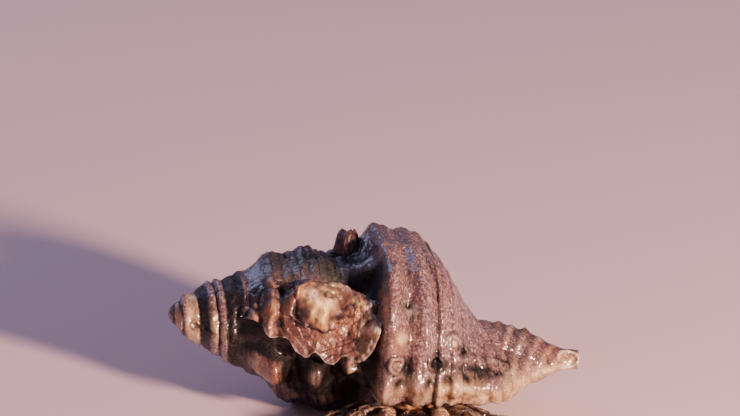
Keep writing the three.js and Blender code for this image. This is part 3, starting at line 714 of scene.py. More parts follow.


# listed colours: what each spot shows, as in the relief above
shellPaint = {
    "cream": [
        [42.0, 95, 1.6, 0.9], [54, 118, 2.2, 0.7], [57, 117, 1.8, 0.8], [38.4, 122, 2.0, 0.4],
        [26.6, 124, 1.4, 0.4], [8.6, 112, 1.9, 0.8], [8.0, 92, 1.0, 0.6], [16.4, 127, 1.2, 0.35],
        [33.4, 121, 0.9, 0.5]],
    "orange": [[38.4, 76, 4.0, 0.9, 3.2], [37.6, 8, 3.0, 0.6, 2.2], [41, 100, 2.4, 0.5],
               [27.0, 130, 2.0, 0.45]],
    "knob": [[18.2, 131, 3.3, 1.0]],       # the worn orange knob low on the spire
    # a painted highlight on the left of the knob: less orange and more white there
    "knobHighlightFade": [[16.6, 128, 1.6, 1.0]],
    "paintedKnobHighlight": [[16.2, 126, 1.6, 1.0]],
    "algae": [[30.0, 52, 3.0, 0.6]],
    # painted cool shade with a painted sky reflection, beside the top knob
    "blue": [[36.6, 4, 3.0, 0.9]],
    "white": [[43.9, 80, 0.8, 1.0]],
}


def shellColours(piece):
    # masks that the shell's material reads, worked out again from where each point lies
    s, angle, radius = shellCoordinates(pointsOf(piece))
    s = np.clip(s, 0.05, shell["length"])
    plain, f = shellFields(s, angle)
    degrees = np.degrees(angle)
    turn, offset = f["turn"], f["offset"]
    spots = {name: addSpots(0, s, angle, radius, marks) for name, marks in shellPaint.items()}
    inside = smoothStep(0.5, 1.1, plain - radius) * (s > 31)

    # painted shade in the grooves, sutures, hollows and ditch, in the trough under the oyster valve, under
    # its left lobe and on the underside; dirt and the scars' own dark rings and pits
    suture = smoothStep(-0.45, -0.95, offset / np.clip(keelPlace(turn) - keelPlace(turn - 1), 1.4, 8.5))
    deep = f["sunk"] * (1 - 0.75 * smoothStep(52, 56, s) * smoothStep(-0.3, 0.3, f["ripple"] + f["crust"]))
    pastLip = smoothStep(0.12, 0.17, turn)
    # painted shade in the hollow behind the keel ridge and in the groove past it
    deep = deep + 0.9 * np.exp(-((offset + 2.9) / 1.1) ** 2) * pastLip * (s > 33)
    deep = deep + 0.5 * np.exp(-((offset - 3.7) / 0.5) ** 2) * pastLip
    dark = (1.35 * f["spireBand"] + 0.5 * f["groove"] * (s > 14) + 0.9 * f["sharpGroove"]
            + 1.1 * np.clip(deep, 0, 1.2) + 0.8 * smoothStep(0.75, 0.9, s) * (1 - smoothStep(1.0, 1.2, s))
            + 1.1 * np.clip(f["pit"], 0, 1) + 0.7 * f["ditch"] + 0.3 * suture * (turn < 0.1)
            + 0.45 * smoothStep(0.1, 0.8, -f["crust"]) + 0.5 * f["roughTop"]
            + 0.9 * f["trough"] * (1 - spots["knob"]) + 0.9 * f["scarDark"])
    # painted shade on the underside, which faces away from the light
    underside = smoothStep(112, 140, degrees) * (1 - smoothStep(230, 300, degrees)) * smoothStep(13, 16, s)
    # painted shadow under the oyster valve's left lobe
    underLobe = smoothStep(88, 93, degrees) * (1 - smoothStep(116, 124, degrees))
    underLobe = underLobe * smoothStep(10.2, 10.8, s) * (1 - smoothStep(25, 28, s))
    dark = dark + 0.8 * underside * (s < 37) * (1 - spots["knob"])
    dark = dark + underLobe * (1.15 - 0.8 * smoothStep(0.4, 1.0, f["streak"]))
    betweenWeals = smoothStep(61, 65, s) * (1 - smoothStep(74, 76, s)) * (1 - f["weal"]) ** 2
    dark = dark + 0.35 * betweenWeals * (degrees < 105)

    # where the lime shows pale, stained orange or green, or rubbed white; and a painted cool shade with a
    # painted sky reflection
    cream = (spots["cream"] + f["scarPale"]
             + 0.9 * smoothStep(3.0, 3.3, s) * (1 - smoothStep(5.9, 6.3, s)) + 0.75 * (s < 2.5) * (s > 1.1)
             + 0.9 * f["band"] * (s > 50) + 0.55 * f["band"]
             + 0.6 * smoothStep(60, 66, s) * smoothStep(90, 125, degrees) * (degrees < 220)
             + 0.35 * np.clip(f["ring"] * 2, 0, 1) + 0.9 * np.clip(f["ring"] * 3, 0, 1) * (s < 10)
             + 0.35 * smoothStep(0.4, 1.0, f["streak"]) * (s > 44) + 0.45 * smoothStep(0.4, 0.9, f["lump"])
             + 0.6 * f["canalMouth"] + 0.3 * f["weal"] * (s > 62))
    orange = (spots["orange"] + spots["knob"] * (1 - 0.5 * spots["knobHighlightFade"])
              + 0.35 * smoothStep(0.3, 0.9, f["ripple"]) * (s > 36) + 0.4 * smoothStep(67, 73, s))
    algae = (spots["algae"] + 0.8 * f["roughTop"] + 0.35 * smoothStep(0.1, 0.8, f["lump"]) * (s < 36)
             + 0.35 * smoothStep(180, 240, degrees) * (degrees < 350))
    # painted cool shade with a painted sky reflection along the top of the whorls
    blue = (spots["blue"] + 0.9 * np.exp(-((degrees - 12) / 30) ** 2) * (s > 12) * (s < 38)
            + 0.35 * np.exp(-((degrees - 20) / 22) ** 2) * (s > 38))
    mouthRim = smoothStep(0.01, 0.1, f["canalMouth"]) * (1 - smoothStep(0.15, 0.35, f["canalMouth"]))
    # white includes the painted highlight on the knob
    white = (spots["white"] + 0.8 * smoothStep(0.75, 1.25, f["crust"]) * (1 - underside)
             + 0.5 * smoothStep(0.1, 0.7, f["crust"]) * spots["paintedKnobHighlight"]
             + 0.9 * np.exp(-((angle - lipAngle) / 0.03) ** 2) * (s > 33) * (s < 39) + 0.7 * mouthRim)
    paintMasks(piece, "marksWarm", cream, dark, orange, inside)
    paintMasks(piece, "marksCool", algae, blue, white)
    across, alongIt = shellFinish["flowUnit"]
    arc = np.interp(turn, turnTable, arcTable)
    addAttribute(piece, "flow", np.stack([offset / across, arc / alongIt, arc * 0], 1))


# the water film evens out the grain under it and gathers the light in small spots
waterFilm = [["beads", 0.9, 0.24]]
waterBeads = [0.8, 1.0, 0.5]

shellFinish = {
    # aragonite, sea worn and wet: a dull mineral body under a thin film of water
    "name": "wet worn aragonite shell",
    "shader": {"Roughness": 0.42, "IOR": 1.53, "Specular IOR Level": 0.25,
               "Coat Weight": 0.9, "Coat Roughness": 0.13, "Coat IOR": 1.8},
    "masks": {"marksWarm": ["cream", "dark", "orange", "inside"], "marksCool": ["algae", "blue", "white"]},
    "flowUnit": (8, 100),       # mm across and along the growth for one unit of the flow
    "patterns": {
        "streaks": [(0.4, 1 / 0.9), 5.0, 0.6],
        "growth": [(2.0, 1 / 3.3), 4.0, 0.6],
        "blotch": [3.2, 6.0, 0.62],
        "grain": [0.45, 4.0, 0.65],
        "beads": waterBeads},
    "base": ("streaks", [(0.3, "2C1C20"), (0.43, "543C3C"), (0.53, "795852"), (0.65, "9A7870"),
                         (0.78, "BE9E94")]),
    "layers": [
        [("blotch", [(0.42, 0.0), (0.6, 0.7)]), "5E4650"],
        [("growth", [(0.5, 0.0), (0.7, 0.4)]), "A88480"],
        [("grain", [(0.5, 0.0), (0.62, 0.7)]), "2A1C20"],
        [("grain", [(0.36, 0.8), (0.45, 0.0)]), "CBAAA2"],
        ["algae", ("grain", [(0.4, "23251C"), (0.55, "4B4A33"), (0.7, "77704F")])],
        # painted cool shade and sky reflection
        ["blue", ("grain", [(0.4, "0C080D"), (0.54, "221927"), (0.66, "6C5C74")])],
        ["orange", ("blotch", [(0.35, "3E1C10"), (0.5, "7A4020"), (0.65, "A86C3C")])],
        ["cream", ("blotch", [(0.35, "7A5C40"), (0.5, "AE8C62"), (0.64, "D6BE98")])],
        ["white", "E6DACB"],
        # painted shade, near black, with the scars' dark marks and dirt
        ["dark", ("grain", [(0.4, "050303"), (0.6, "160D0B")])],
        ["inside", ("blotch", [(0.4, "A8745A"), (0.6, "D9B296")])]],
    "reads": {   # wetter and drier patches; less film over the dark mask, mostly painted shade, so that it stays dark
        "Roughness": ("blotch", [(0.35, 0.34), (0.65, 0.6)]),
        "Coat Weight": ("dark", [(0.2, 0.95), (0.9, 0.2)])},
    "bumps": [["streaks", 0.5, 0.25], ["growth", 0.45, 0.15], ["grain", 1.0, 0.3]],
    "coatBumps": waterFilm,
}


def makeShell():
    piece = gridPiece("snailShell", shellRows())
    cutAway(piece, gridPiece("mouthTool", mouthRows()))
    cutAway(piece, gridPiece("slitTool", slitRows()))
    keepInBox(piece)
    shellColours(piece)
    finishPiece(piece, buildMaterial(shellFinish),
                ["shell_spire", "shell_body_whorl", "shell_siphonal_canal"])


makeShell()
print("the shell is made")


oyster = {
    "centre": (28.2, 83),
    "rings": 96,
    "columns": 330,
    "seat": 14.0,              # mm, how far from the shell's axis the valve lies, for its patterns
    "degree": 0.245,           # mm that one degree round the shell is there
    # margin as [along mm, degrees round]
    "margin": [
        [12.9, 88], [13.3, 70], [14.4, 57], [17.8, 52], [20.2, 62], [22.8, 60], [26.8, 57], [31.2, 60],
        [33.4, 66], [36.0, 73], [38.0, 77], [38.6, 84], [38.3, 92], [37.2, 101], [36.0, 108],
        [34.4, 112], [32.2, 110], [30.3, 116], [28.6, 115], [26.6, 109], [25.0, 113], [23.0, 110],
        [21.0, 102], [17.9, 103], [16.6, 94], [14.9, 91]],
    "bumps": [
        [26.0, 74, 2.4, 0.8], [27.4, 85, 2.0, 0.5], [29.2, 68, 1.8, 0.6], [22.8, 69, 1.2, 0.8],
        [32.1, 62, 1.3, 0.7], [33.6, 78, 1.4, 0.6], [24.6, 59, 1.4, 0.4], [30.4, 58, 1.2, 0.4],
        [36.9, 92, 1.0, 0.5], [36.0, 99, 0.9, 0.5], [35.4, 86, 0.9, 0.5], [33.5, 98, 1.2, 0.35],
        [24.0, 99, 1.0, 0.25], [18.2, 84, 1.5, 0.4], [14.6, 84, 1.3, 0.3], [34.6, 70, 1.2, 0.5],
        [23.0, 84, 1.2, -1.5], [31.4, 74, 1.2, -0.7], [20.6, 67, 1.3, -1.3], [34.7, 83, 0.8, -0.5],
        [36.9, 97, 0.35, -0.4], [20.0, 92, 0.8, -0.5], [30.4, 86, 1.2, -0.5], [16.4, 74, 1.0, -0.5],
        [27.0, 63, 1.2, -0.6], [24.4, 65, 0.9, -0.5], [32.6, 91, 0.9, -0.4]],
    "ribEvery": 3.1,           # mm, the ribs of the left lobe
    "leafEvery": 1.25,         # mm, from the edge of one leaf of the shell to the next
    # the underside, drawn in from the margin: share of the way out, mm off the shell (or the top's share)
    "rim": (1.0, 0.45),
    "under": [(0.965, 0.05), (0.9, -0.5), (0.7, -1.2), (0.0, -1.2)],
}
plateEdge = curveThrough([[20, 86], [22, 88], [24, 90.5], [26, 92.5], [28.4, 94], [31.2, 90], [33, 86.5],
                          [35.4, 82], [38, 79]])


def softRadius(s, angle):
    # the plain surface with its steps eased, for what grew across them
    taps = [(-2.2, 1), (-1.1, 2), (0, 2), (1.1, 2), (2.2, 1)]
    return sum(weight * topWhorl(np.clip(s + step, 0.1, 78), angle)[0] for step, weight in taps) / 8


def closedCurve(points, count):
    # count places round a smooth closed line through the points
    points = np.array(points, float)
    t = np.arange(count) / count * len(points)
    i = np.floor(t).astype(int)
    return smoothBetween(*(points[(i + k) % len(points)] for k in (-1, 0, 1, 2)), (t - i)[:, None])


def oysterRise(s, angle, share, margin):
    # how far the valve's top stands off the shell, at a share of the way to its margin
    degrees = np.degrees(angle)
    spot = np.stack([s, angle * oyster["seat"], share * 0], -1)
    crust = layeredNoise(spot, 0.9, 205, 3)
    swell = layeredNoise(spot, 3.4, 211, 2)
    crease = 1 - np.abs(layeredNoise(spot + [3, 1, 8], 3.0, 231, 2)) * 2.2
    crease = np.clip(crease, 0, 1) ** 3 * (1 - 0.75 * smoothStep(91, 97, degrees))
    lower = smoothStep(82, 98, margin)
    body = 1.5 + 1.3 * (1 - smoothStep(0.0, 0.75, share)) + 0.35 * smoothStep(0.7, 0.93, share)
    edge = 0.2 + 2.1 * lower
    rise = body + (edge - body) * smoothStep(0.84 - 0.2 * (1 - lower), 1.0, share)
    leftLobe = 1 - smoothStep(19.6, 21.8, s)
    rib = np.sin((s + 0.5 * swell) * 2 * math.pi / oyster["ribEvery"] + 2.6)
    rise = rise + leftLobe * (0.42 * rib - 0.35)
    rise = addSpots(rise, s, angle, np.full_like(s, oyster["seat"]), oyster["bumps"])
    line = plateEdge(s) + 5.0 * swell + 2.4 * crust
    onPlate = 1 - smoothStep(line - 0.8, line + 1.4, degrees)
    onPlate = onPlate * (1 - leftLobe) * smoothStep(0.02, 0.2, 1.02 - share)
    rise = rise + 0.75 * onPlate - 0.55 * crease
    rough = smoothStep(32, 34, s) + (1 - smoothStep(58, 72, degrees))
    rise = rise + 0.3 * crust * np.clip(rough, 0, 1)
    far = np.hypot(s - 28.5, (degrees - 82) * oyster["degree"]) + 0.8 * swell + 0.22 * crust
    saw = far / oyster["leafEvery"] - np.floor(far / oyster["leafEvery"])
    lamella = (1 - saw) * smoothStep(0, 0.16, saw)
    rise = rise + 0.34 * lamella * smoothStep(4.6, 6.6, far) * (1 - 0.6 * leftLobe)
    rise = rise + 0.5 * swell + 0.24 * crust
    return rise, {"crust": crust, "swell": swell, "lamella": lamella, "rib": rib, "leftLobe": leftLobe,
                  "far": far, "crease": crease}


def oysterRow(margin, reach, share, under=None, topShare=1):
    # one ring of the valve, as far out as reach; its underside has a height of its own
    at = np.array(oyster["centre"]) + (margin - np.array(oyster["centre"])) * reach
    s, angle = at[:, 0], np.radians(at[:, 1])
    rise = under
    if under is None:
        rise = oysterRise(s, angle, np.full(len(s), share), margin[:, 1])[0] * topShare
    return shellPlace(s, angle, softRadius(s, angle) + rise)


def oysterPlaces():
    margin = closedCurve(oyster["margin"], oyster["columns"])
    spot = np.stack([margin[:, 0], margin[:, 1] * oyster["degree"], margin[:, 0] * 0], 1)
    wiggle = 1 + 0.025 * latticeNoise(spot, 1.5, 77)[:, None]
    rows = [oysterRow(margin, share * wiggle, share) for share in np.linspace(0, 1, oyster["rings"])]
    rimReach, rimShare = oyster["rim"]
    rows.append(oysterRow(margin, rimReach, rimReach, topShare=rimShare))
    rows += [oysterRow(margin, reach, reach, under=high) for reach, high in oyster["under"]]
    rows = np.array(rows)
    return np.concatenate([rows, rows[:, :1]], axis=1)


oysterPaint = {
    "cream": [
        [25.7, 74, 1.9, 1.2], [26.9, 86, 1.5, 0.9], [28.8, 67, 1.6, 1.0], [28.4, 78, 1.8, 0.7],
        [33.5, 78, 1.2, 0.6], [34.3, 92, 0.9, 0.9, 2.2]],
    # painted shade in the valve's pits
    "dark": [[23.0, 84, 1.2, 1.1], [20.6, 66, 1.6, 1.1], [30.6, 86, 1.3, 0.4]],
    "orange": [
        [22.7, 69, 1.4, 1.0], [25.4, 66, 1.2, 0.5], [29.5, 98, 2.8, 0.35], [17.4, 84, 2.0, 0.3],
        [33.0, 84, 1.4, 0.3]],
    "mauve": [[32.6, 64, 2.4, 0.7]],
    "pale": [[32.1, 62, 1.0, 0.5], [25.6, 74, 1.0, 0.6]],
}


def oysterShare(s, degrees):
    # how far each place lies from the valve's centre towards its margin, 1 at the margin
    centre = np.array(oyster["centre"])
    offset = np.stack([s, degrees], 1) - centre
    margin = closedCurve(oyster["margin"], 720) - centre
    offset[:, 1] *= oyster["degree"]
    margin[:, 1] *= oyster["degree"]
    heading = np.arctan2(margin[:, 1], margin[:, 0])
    order = np.argsort(heading)
    edge = np.interp(np.arctan2(offset[:, 1], offset[:, 0]), heading[order], np.hypot(*margin.T)[order])
    return np.hypot(*offset.T) / edge


def oysterColours(piece):
    s, angle, radius = shellCoordinates(pointsOf(piece))
    degrees = np.degrees(angle)
    share = oysterShare(s, degrees)
    _, f = oysterRise(s, angle, np.clip(share, 0, 1), degrees)
    seat = np.full_like(s, oyster["seat"])
    spots = {name: addSpots(0, s, angle, seat, marks) for name, marks in oysterPaint.items()}
    rightLobe = 1 - f["leftLobe"]

    cream = (spots["cream"] + 0.3 * np.clip(f["rib"], 0, 1) * f["leftLobe"]
             + 0.25 * (f["lamella"] > 0.8) * (degrees > 92)
             + 0.5 * smoothStep(33.4, 35, s) * smoothStep(72, 80, degrees))
    # less cream in the creases, as painted shade
    cream = cream * (0.9 + 0.6 * f["crust"] + 0.4 * f["swell"] - 0.5 * f["crease"])
    stepShadow = np.exp(-((degrees - plateEdge(s) - 1.6) / 1.0) ** 2) * rightLobe * (s < 33)
    # painted shade in the creases, the pits, between the left lobe's ribs and on the underside below the
    # margin, with the painted shadow of the plate's step
    dark = (spots["dark"] + 0.75 * f["crease"] + 0.7 * stepShadow
            + 0.5 * (1 - smoothStep(54, 64, degrees)) * (f["crust"] < 0.2)
            + 0.42 * smoothStep(92, 98, degrees) * rightLobe
            + 0.7 * np.clip(-f["rib"] - 0.3, 0, 1) * f["leftLobe"]
            + 0.5 * smoothStep(0.35, 0.9, -f["crust"]) + 0.35 * smoothStep(0.3, 0.9, -f["swell"])
            + 0.9 * (radius - softRadius(s, angle) < 0.5))
    mauve = (spots["mauve"] + 0.6 * smoothStep(90, 97, degrees) * rightLobe
             + 0.35 * smoothStep(0.2, 0.8, f["swell"]) + 0.8 * smoothStep(34.2, 35.8, s))
    # the pale line along the lower rim is a painted highlight
    pale = (spots["pale"] + smoothStep(0.7, 1.1, f["crust"])
            + 0.6 * smoothStep(0.0, 0.5, f["crust"]) * smoothStep(34.6, 36.2, s)
            + 0.45 * smoothStep(0.955, 0.985, share) * smoothStep(92, 100, degrees))
    paintMasks(piece, "marksWarm", cream, dark, spots["orange"])
    paintMasks(piece, "marksCool", mauve, s * 0, pale)
    across, outwards = oysterFinish["flowUnit"]
    addAttribute(piece, "flow", np.stack([s / across, f["far"] / outwards, s * 0], 1))


oysterFinish = {
    # old oyster: chalky leaves with a wet film, cream where worn through, mauve at the brim
    "name": "wet worn oyster shell",
    "shader": {"Roughness": 0.45, "IOR": 1.53, "Specular IOR Level": 0.3,
               "Coat Weight": 0.7, "Coat Roughness": 0.15, "Coat IOR": 1.5},
    "masks": {"marksWarm": ["cream", "dark", "orange"], "marksCool": ["mauve", "spare", "pale"]},
    "flowUnit": (8, 8),
    "patterns": {
        "blotch": [2.4, 6.0, 0.62],
        "grain": [0.4, 4.0, 0.65],
        "lines": [(8 / 3, 8 / 30), 5.0, 0.6],
        "beads": waterBeads},
    "base": ("blotch", [(0.34, "301C19"), (0.45, "5C392F"), (0.55, "825647"), (0.68, "A87C6A")]),
    "layers": [
        [("grain", [(0.5, 0.0), (0.64, 0.6)]), "38262A"],
        [("lines", [(0.48, 0.0), (0.66, 0.55)]), "6B4A3E"],
        ["mauve", ("grain", [(0.38, "432726"), (0.52, "70453D"), (0.66, "9A6C62")])],
        ["orange", ("grain", [(0.4, "8A4C1E"), (0.6, "D08A3E")])],
        ["cream", ("blotch", [(0.36, "A07A44"), (0.5, "D8B478"), (0.64, "F0DCB4")])],
        ["pale", "E8D4C4"],
        # painted shade in the creases, pits and under the margin
        ["dark", ("grain", [(0.4, "120C10"), (0.62, "362628")])]],
    "bumps": [["lines", 0.5, 0.2], ["grain", 0.6, 0.16]],
    "coatBumps": waterFilm,
}


def makeOyster():
    piece = gridPiece("oysterShell", oysterPlaces())
    keepInBox(piece)
    oysterColours(piece)
    finishPiece(piece, buildMaterial(oysterFinish), ["oyster_valve"])


makeOyster()
print("the oyster valve is made")


barnacles = {
    # along, degrees round, base radius, height, lean
    "spots": [[33.1, 6, 2.35, 4.6, 0.1], [30.9, 352, 1.2, 1.6, 0.1], [35.2, 348, 0.9, 1.0, 0.1]],
    "sunk": 0.5,         # mm that the base stands in the shell
    "columns": 61,
    # height and width as shares of the barnacle's own, up the outside and down into the mouth
    "profile": [(0.0, 1.06), (0.06, 1.05), (0.2, 0.98), (0.4, 0.93), (0.6, 0.88), (0.8, 0.78), (0.94, 0.6),
                (1.0, 0.46), (0.98, 0.36), (0.86, 0.3), (0.7, 0.22), (0.62, 0.0)],
}
barnacleFinish = {
    # worn barnacle plates, dark red-brown and wet with a few pale chips
    "name": "wet barnacle plate",
    "shader": {"Roughness": 0.4, "Coat Weight": 0.7, "Coat Roughness": 0.12, "Coat IOR": 1.33},
    "patterns": {"blotch": [1.3, 5.0, 0.65], "grain": [0.3, 3.0, 0.6]},
    "base": ("blotch", [(0.38, "160C0C"), (0.5, "3A1E1A"), (0.6, "60342A"), (0.7, "9A6A54"),
                        (0.78, "D8BCA4")]),
    "bumps": [["grain", 0.7, 0.16]],
    "coatBumps": [["grain", 0.7, 0.16]],
}


def barnaclePlaces(spot, seed):
    at, degrees, base, tall, lean = spot
    angle = math.radians(degrees)
    ground = float(topWhorl(np.array([at]), np.array([angle]))[0][0])
    foot = shellPlace(np.array(at), np.array(angle), np.array(ground - barnacles["sunk"]))
    out = math.cos(angle) * upward + math.sin(angle) * frontward
    sideways = np.cross(out, along)
    turns = np.linspace(0, fullTurn, barnacles["columns"])
    rows = [np.repeat(foot[None], len(turns), 0)]
    for high, wide in barnacles["profile"]:
        plates = 1 + 0.07 * np.cos(6 * turns + seed) + 0.05 * np.cos(17 * turns + high * 3)
        circle = np.stack([np.cos(turns) * 1.7, np.sin(turns) * 1.7, turns * 0 + high * 2], 1)
        jag = latticeNoise(circle, 1.0, seed)
        reach = base * wide * plates * (1 + 0.14 * jag)
        lift = high * tall * (1 + 0.12 * jag * (high > 0.7)) + 0.1
        ring = foot + out * lift[:, None]
        ring = ring + np.outer(np.cos(turns) * reach, along) + np.outer(np.sin(turns) * reach, sideways)
        ring = ring + along * lean * high * tall * 0.4
        ring[-1] = ring[0]
        rows.append(ring)
    return np.array(rows)


def makeBarnacles():
    material = buildMaterial(barnacleFinish)
    for index, spot in enumerate(barnacles["spots"]):
        piece = gridPiece(f"barnacle{index + 1}", barnaclePlaces(spot, 401 + index))
        keepInBox(piece)
        finishPiece(piece, material, ["barnacle"] if index == 0 else [])


makeBarnacles()
print("the barnacles are made")


crab = {
    "middle": 8.2,                    # mm, where the crab's own middle stands across the view
    "offset": (-0.77, 15.575, 0.0),   # mm, from the crab's own places to the model's
    "gap": 0.15,                      # mm, half of what parts two plates at a joint
    "legWidths": (2.9, 2.5, 2.2, 1.7),
    "hands": {"Right": -1, "Left": 1},
}
legJoints = {
    "secondRight": [(2.7, -14.9, 3.2), (-2.2, -24.4, 6.3), (-4.6, -29.4, 5.7), (-8.6, -36.4, 3.4),
                    (-11.8, -43.5, 0)],
    "secondLeft": [(13.9, -15.1, 2.8), (18.4, -24.2, 6.2), (20.7, -29.2, 5.6), (24.6, -36.2, 3.4),
                   (27.6, -43.3, 0)],
    "thirdRight": [(2.5, -11.4, 3.0), (-5.4, -20.6, 4.5), (-9.2, -24.8, 4.5), (-14.8, -30.2, 2.9),
                   (-20, -36, 0)],
    "thirdLeft": [(13.9, -11.5, 2.5), (22.4, -19.5, 3.3), (26.2, -23.2, 3.9), (31.6, -28.5, 2.8),
                  (36.9, -34.4, 0)],
}
# joints of a claw, in mm outwards from the crab's middle, across the view's depth and up
clawJoints = {"shoulder": (4.4, -18.4, 3.4), "elbow": (5.2, -24.8, 6.2), "wrist": (4.6, -29.2, 6.0),
              "knuckle": (2.9, -36.0, 4.2), "tip": (2.0, -41.6, 2.6)}


def place(x, y, z):
    return np.array([x, y, z], float) + crab["offset"]


def beside(hand, x, y, z):
    return place(crab["middle"] + hand * x, y, z)


def clawPlaces(hand):
    return [beside(hand, *joint) for joint in clawJoints.values()]


def direction(start, end):
    return (end - start) / np.linalg.norm(end - start)


def splineThrough(points, shares):
    # places along a smooth open line through the points
    points = np.array(points, float)
    ends = np.concatenate([[2 * points[0] - points[1]], points, [2 * points[-1] - points[-2]]])
    t = np.asarray(shares) * (len(points) - 1)
    i = np.clip(np.floor(t).astype(int), 0, len(points) - 2)
    return smoothBetween(*(ends[i + k] for k in range(4)), (t - i)[:, None])


def roundedEnd(share, reach):
    return np.sqrt(np.clip(1 - (1 - np.clip(share / max(reach, 1e-6), 0, 1)) ** 2, 0, 1))


def limbGrid(line, stations, ring=48, steps=56, rounds=(0.06, 0.06), relief=None):
    # a plate swept along a line; stations are [share along, half width, half height] in mm
    stations = [[at, sizes[0], sizes[-1]] for at, *sizes in stations]
    share = 0.5 - 0.5 * np.cos(math.pi * np.linspace(0, 1, steps))
    centre = splineThrough(line, share)
    ahead = np.gradient(centre, axis=0)
    ahead = ahead / np.linalg.norm(ahead, axis=1)[:, None]
    side = np.cross(ahead, [0.0, 0.0, 1.0])
    side = side / np.linalg.norm(side, axis=1)[:, None]
    top = np.cross(side, ahead)
    wide = curveThrough([[s[0], s[1]] for s in stations])(share)
    high = curveThrough([[s[0], s[2]] for s in stations])(share)
    close = roundedEnd(share, rounds[0]) * roundedEnd(1 - share, rounds[1])
    u, phi = np.meshgrid(share, np.linspace(0, fullTurn, ring + 1), indexing="ij")
    out = (side[:, None] * (np.cos(phi) * (wide * close)[:, None])[..., None]
           + top[:, None] * (np.sin(phi) * (high * close)[:, None])[..., None])
    places = centre[:, None] + out
    length = np.linalg.norm(out, axis=2, keepdims=True)
    normal = np.where(length > 1e-6, out / np.maximum(length, 1e-6), 0)
    if relief is not None:
        places = places + normal * (relief(u, phi, places) * np.minimum(close, 1)[:, None])[..., None]
    places[:, -1] = places[:, 0]
    places[0], places[-1] = centre[0], centre[-1]
    return {"places": places, "u": u, "phi": phi, "normal": normal, "centre": centre}


def stripeMask(phi, centres, reach, radius):
    mask = np.zeros_like(phi)
    for centre in centres:
        away = np.mod(phi - math.radians(centre) + math.pi, fullTurn) - math.pi
        mask = np.maximum(mask, np.exp(-(away * radius / reach) ** 2))
    return mask


def limbPiece(name, grid, marks, material, nodes):
    piece = gridPiece(name, grid["places"], marks)
    keepInBox(piece)
    finishPiece(piece, material, nodes)


def cuticle(name, dark, pale, speck, tip):
    # crab cuticle: hard, slightly waxy, wet, with its colour laid in stripes and specks
    return buildMaterial({
        "name": name,
        "shader": {"Roughness": 0.36, "IOR": 1.5, "Coat Weight": 0.7, "Coat Roughness": 0.1,
                   "Coat IOR": 1.33},
        "masks": {"marks": ["stripe", "speck", "tip"]},
        "patterns": {"blotch": [1.1, 5.0, 0.65], "grain": [0.22, 3.0, 0.6]},
        "base": ("blotch", list(zip((0.35, 0.5, 0.62, 0.72), dark))),
        "layers": [
            ["stripe", ("grain", list(zip((0.36, 0.5, 0.64), pale)))],
            ["speck", speck],
            ["tip", ("grain", list(zip((0.4, 0.65), tip)))]],
        "bumps": [["grain", 0.5, 0.1]],
        "coatBumps": [["grain", 0.5, 0.1]],
    })


legSkin = cuticle("wet striped leg cuticle", ("120D10", "2A1E22", "3E2E2C", "5C4234"),
                  ("947456", "C8A880", "E8D4B4"), "C9B48C", ("0B0908", "241C16"))
clawSkin = cuticle("wet warty claw cuticle", ("22120E", "502E20", "74472E", "98623E"),
                   ("AC7A54", "D8AE84", "EEDCC2"), "E2D6C4", ("0B0908", "2A2220"))
stalkSkin = cuticle("striped eyestalk cuticle", ("4A2A16", "8A4E22", "B8763A", "D39A58"),
                    ("C79A5C", "E6C690", "F4E4C0"), "20140E", ("0B0908", "3A2416"))
shieldSkin = cuticle("mottled shield cuticle", ("3A2014", "7A4A2E", "A8744C", "C99A70"),
                     ("C08E64", "E2BA90", "F2DCBC"), "2A1812", ("0B0908", "3A2416"))

bristleRoots = []       # where bristles stand: place, direction, length, root's place on the unwrap


def noteBristles(grid, index, count, length, lean, where):
    # chooses roots on a plate; where(u, phi) gives how likely each place is
    places, normal = grid["places"], grid["normal"]
    rows, columns = places.shape[:2]
    i = rng.integers(2, rows - 3, count * 4)
    j = rng.integers(0, columns - 1, count * 4)
    keep = rng.random(count * 4) < where(grid["u"][i, j], grid["phi"][i, j])
    i, j = i[keep][:count], j[keep][:count]
    ahead = grid["centre"][np.minimum(i + 1, rows - 1)] - grid["centre"][i - 1]
    ahead = ahead / np.maximum(np.linalg.norm(ahead, axis=1), 1e-9)[:, None]
    for k in range(len(i)):
        way = normal[i[k], j[k]] * (1 - lean) + ahead[k] * lean + rng.normal(0, 0.16, 3)
        spot = ((index % 8 + grid["phi"][i[k], j[k]] / fullTurn) / 8,
                (index // 8 + grid["u"][i[k], j[k]]) / 8)
        bristleRoots.append((places[i[k], j[k]], way / np.linalg.norm(way),
                             length * (0.6 + 0.8 * rng.random()), spot))


def legRelief(seed, size):
    def relief(u, phi, points):
        crust = layeredNoise(points, 0.7, seed, 2)
        ridge = np.cos(phi * 5 + 0.6)
        return size * (0.05 * crust + 0.09 * warts(points, 0.62, seed + 5) + 0.035 * ridge)
    return relief


def tipMask(u, tipFrom, reach):
    return np.zeros_like(u) if tipFrom is None else smoothStep(tipFrom, tipFrom + reach, u)


def legMarks(grid, seed, radius, tipFrom=None):
    u, points = grid["u"], grid["places"]
    ragged = latticeNoise(points, 0.8, seed)
    stripe = stripeMask(grid["phi"] + 0.1 * ragged, (90, 38, 142, -12, 192, -68, 248), 0.2, radius)
    stripe = stripe * smoothStep(0.03, 0.12, u) * (1 - smoothStep(0.9, 0.98, u)) * (0.75 + 0.25 * ragged)
    speck = smoothStep(0.55, 0.8, warts(points, 0.62, seed + 5)) * 0.55
    tip = tipMask(u, tipFrom, 0.05)
    return np.stack([np.clip(stripe * (1 - tip), 0, 1), speck * (1 - tip), tip, np.ones_like(u)], -1)


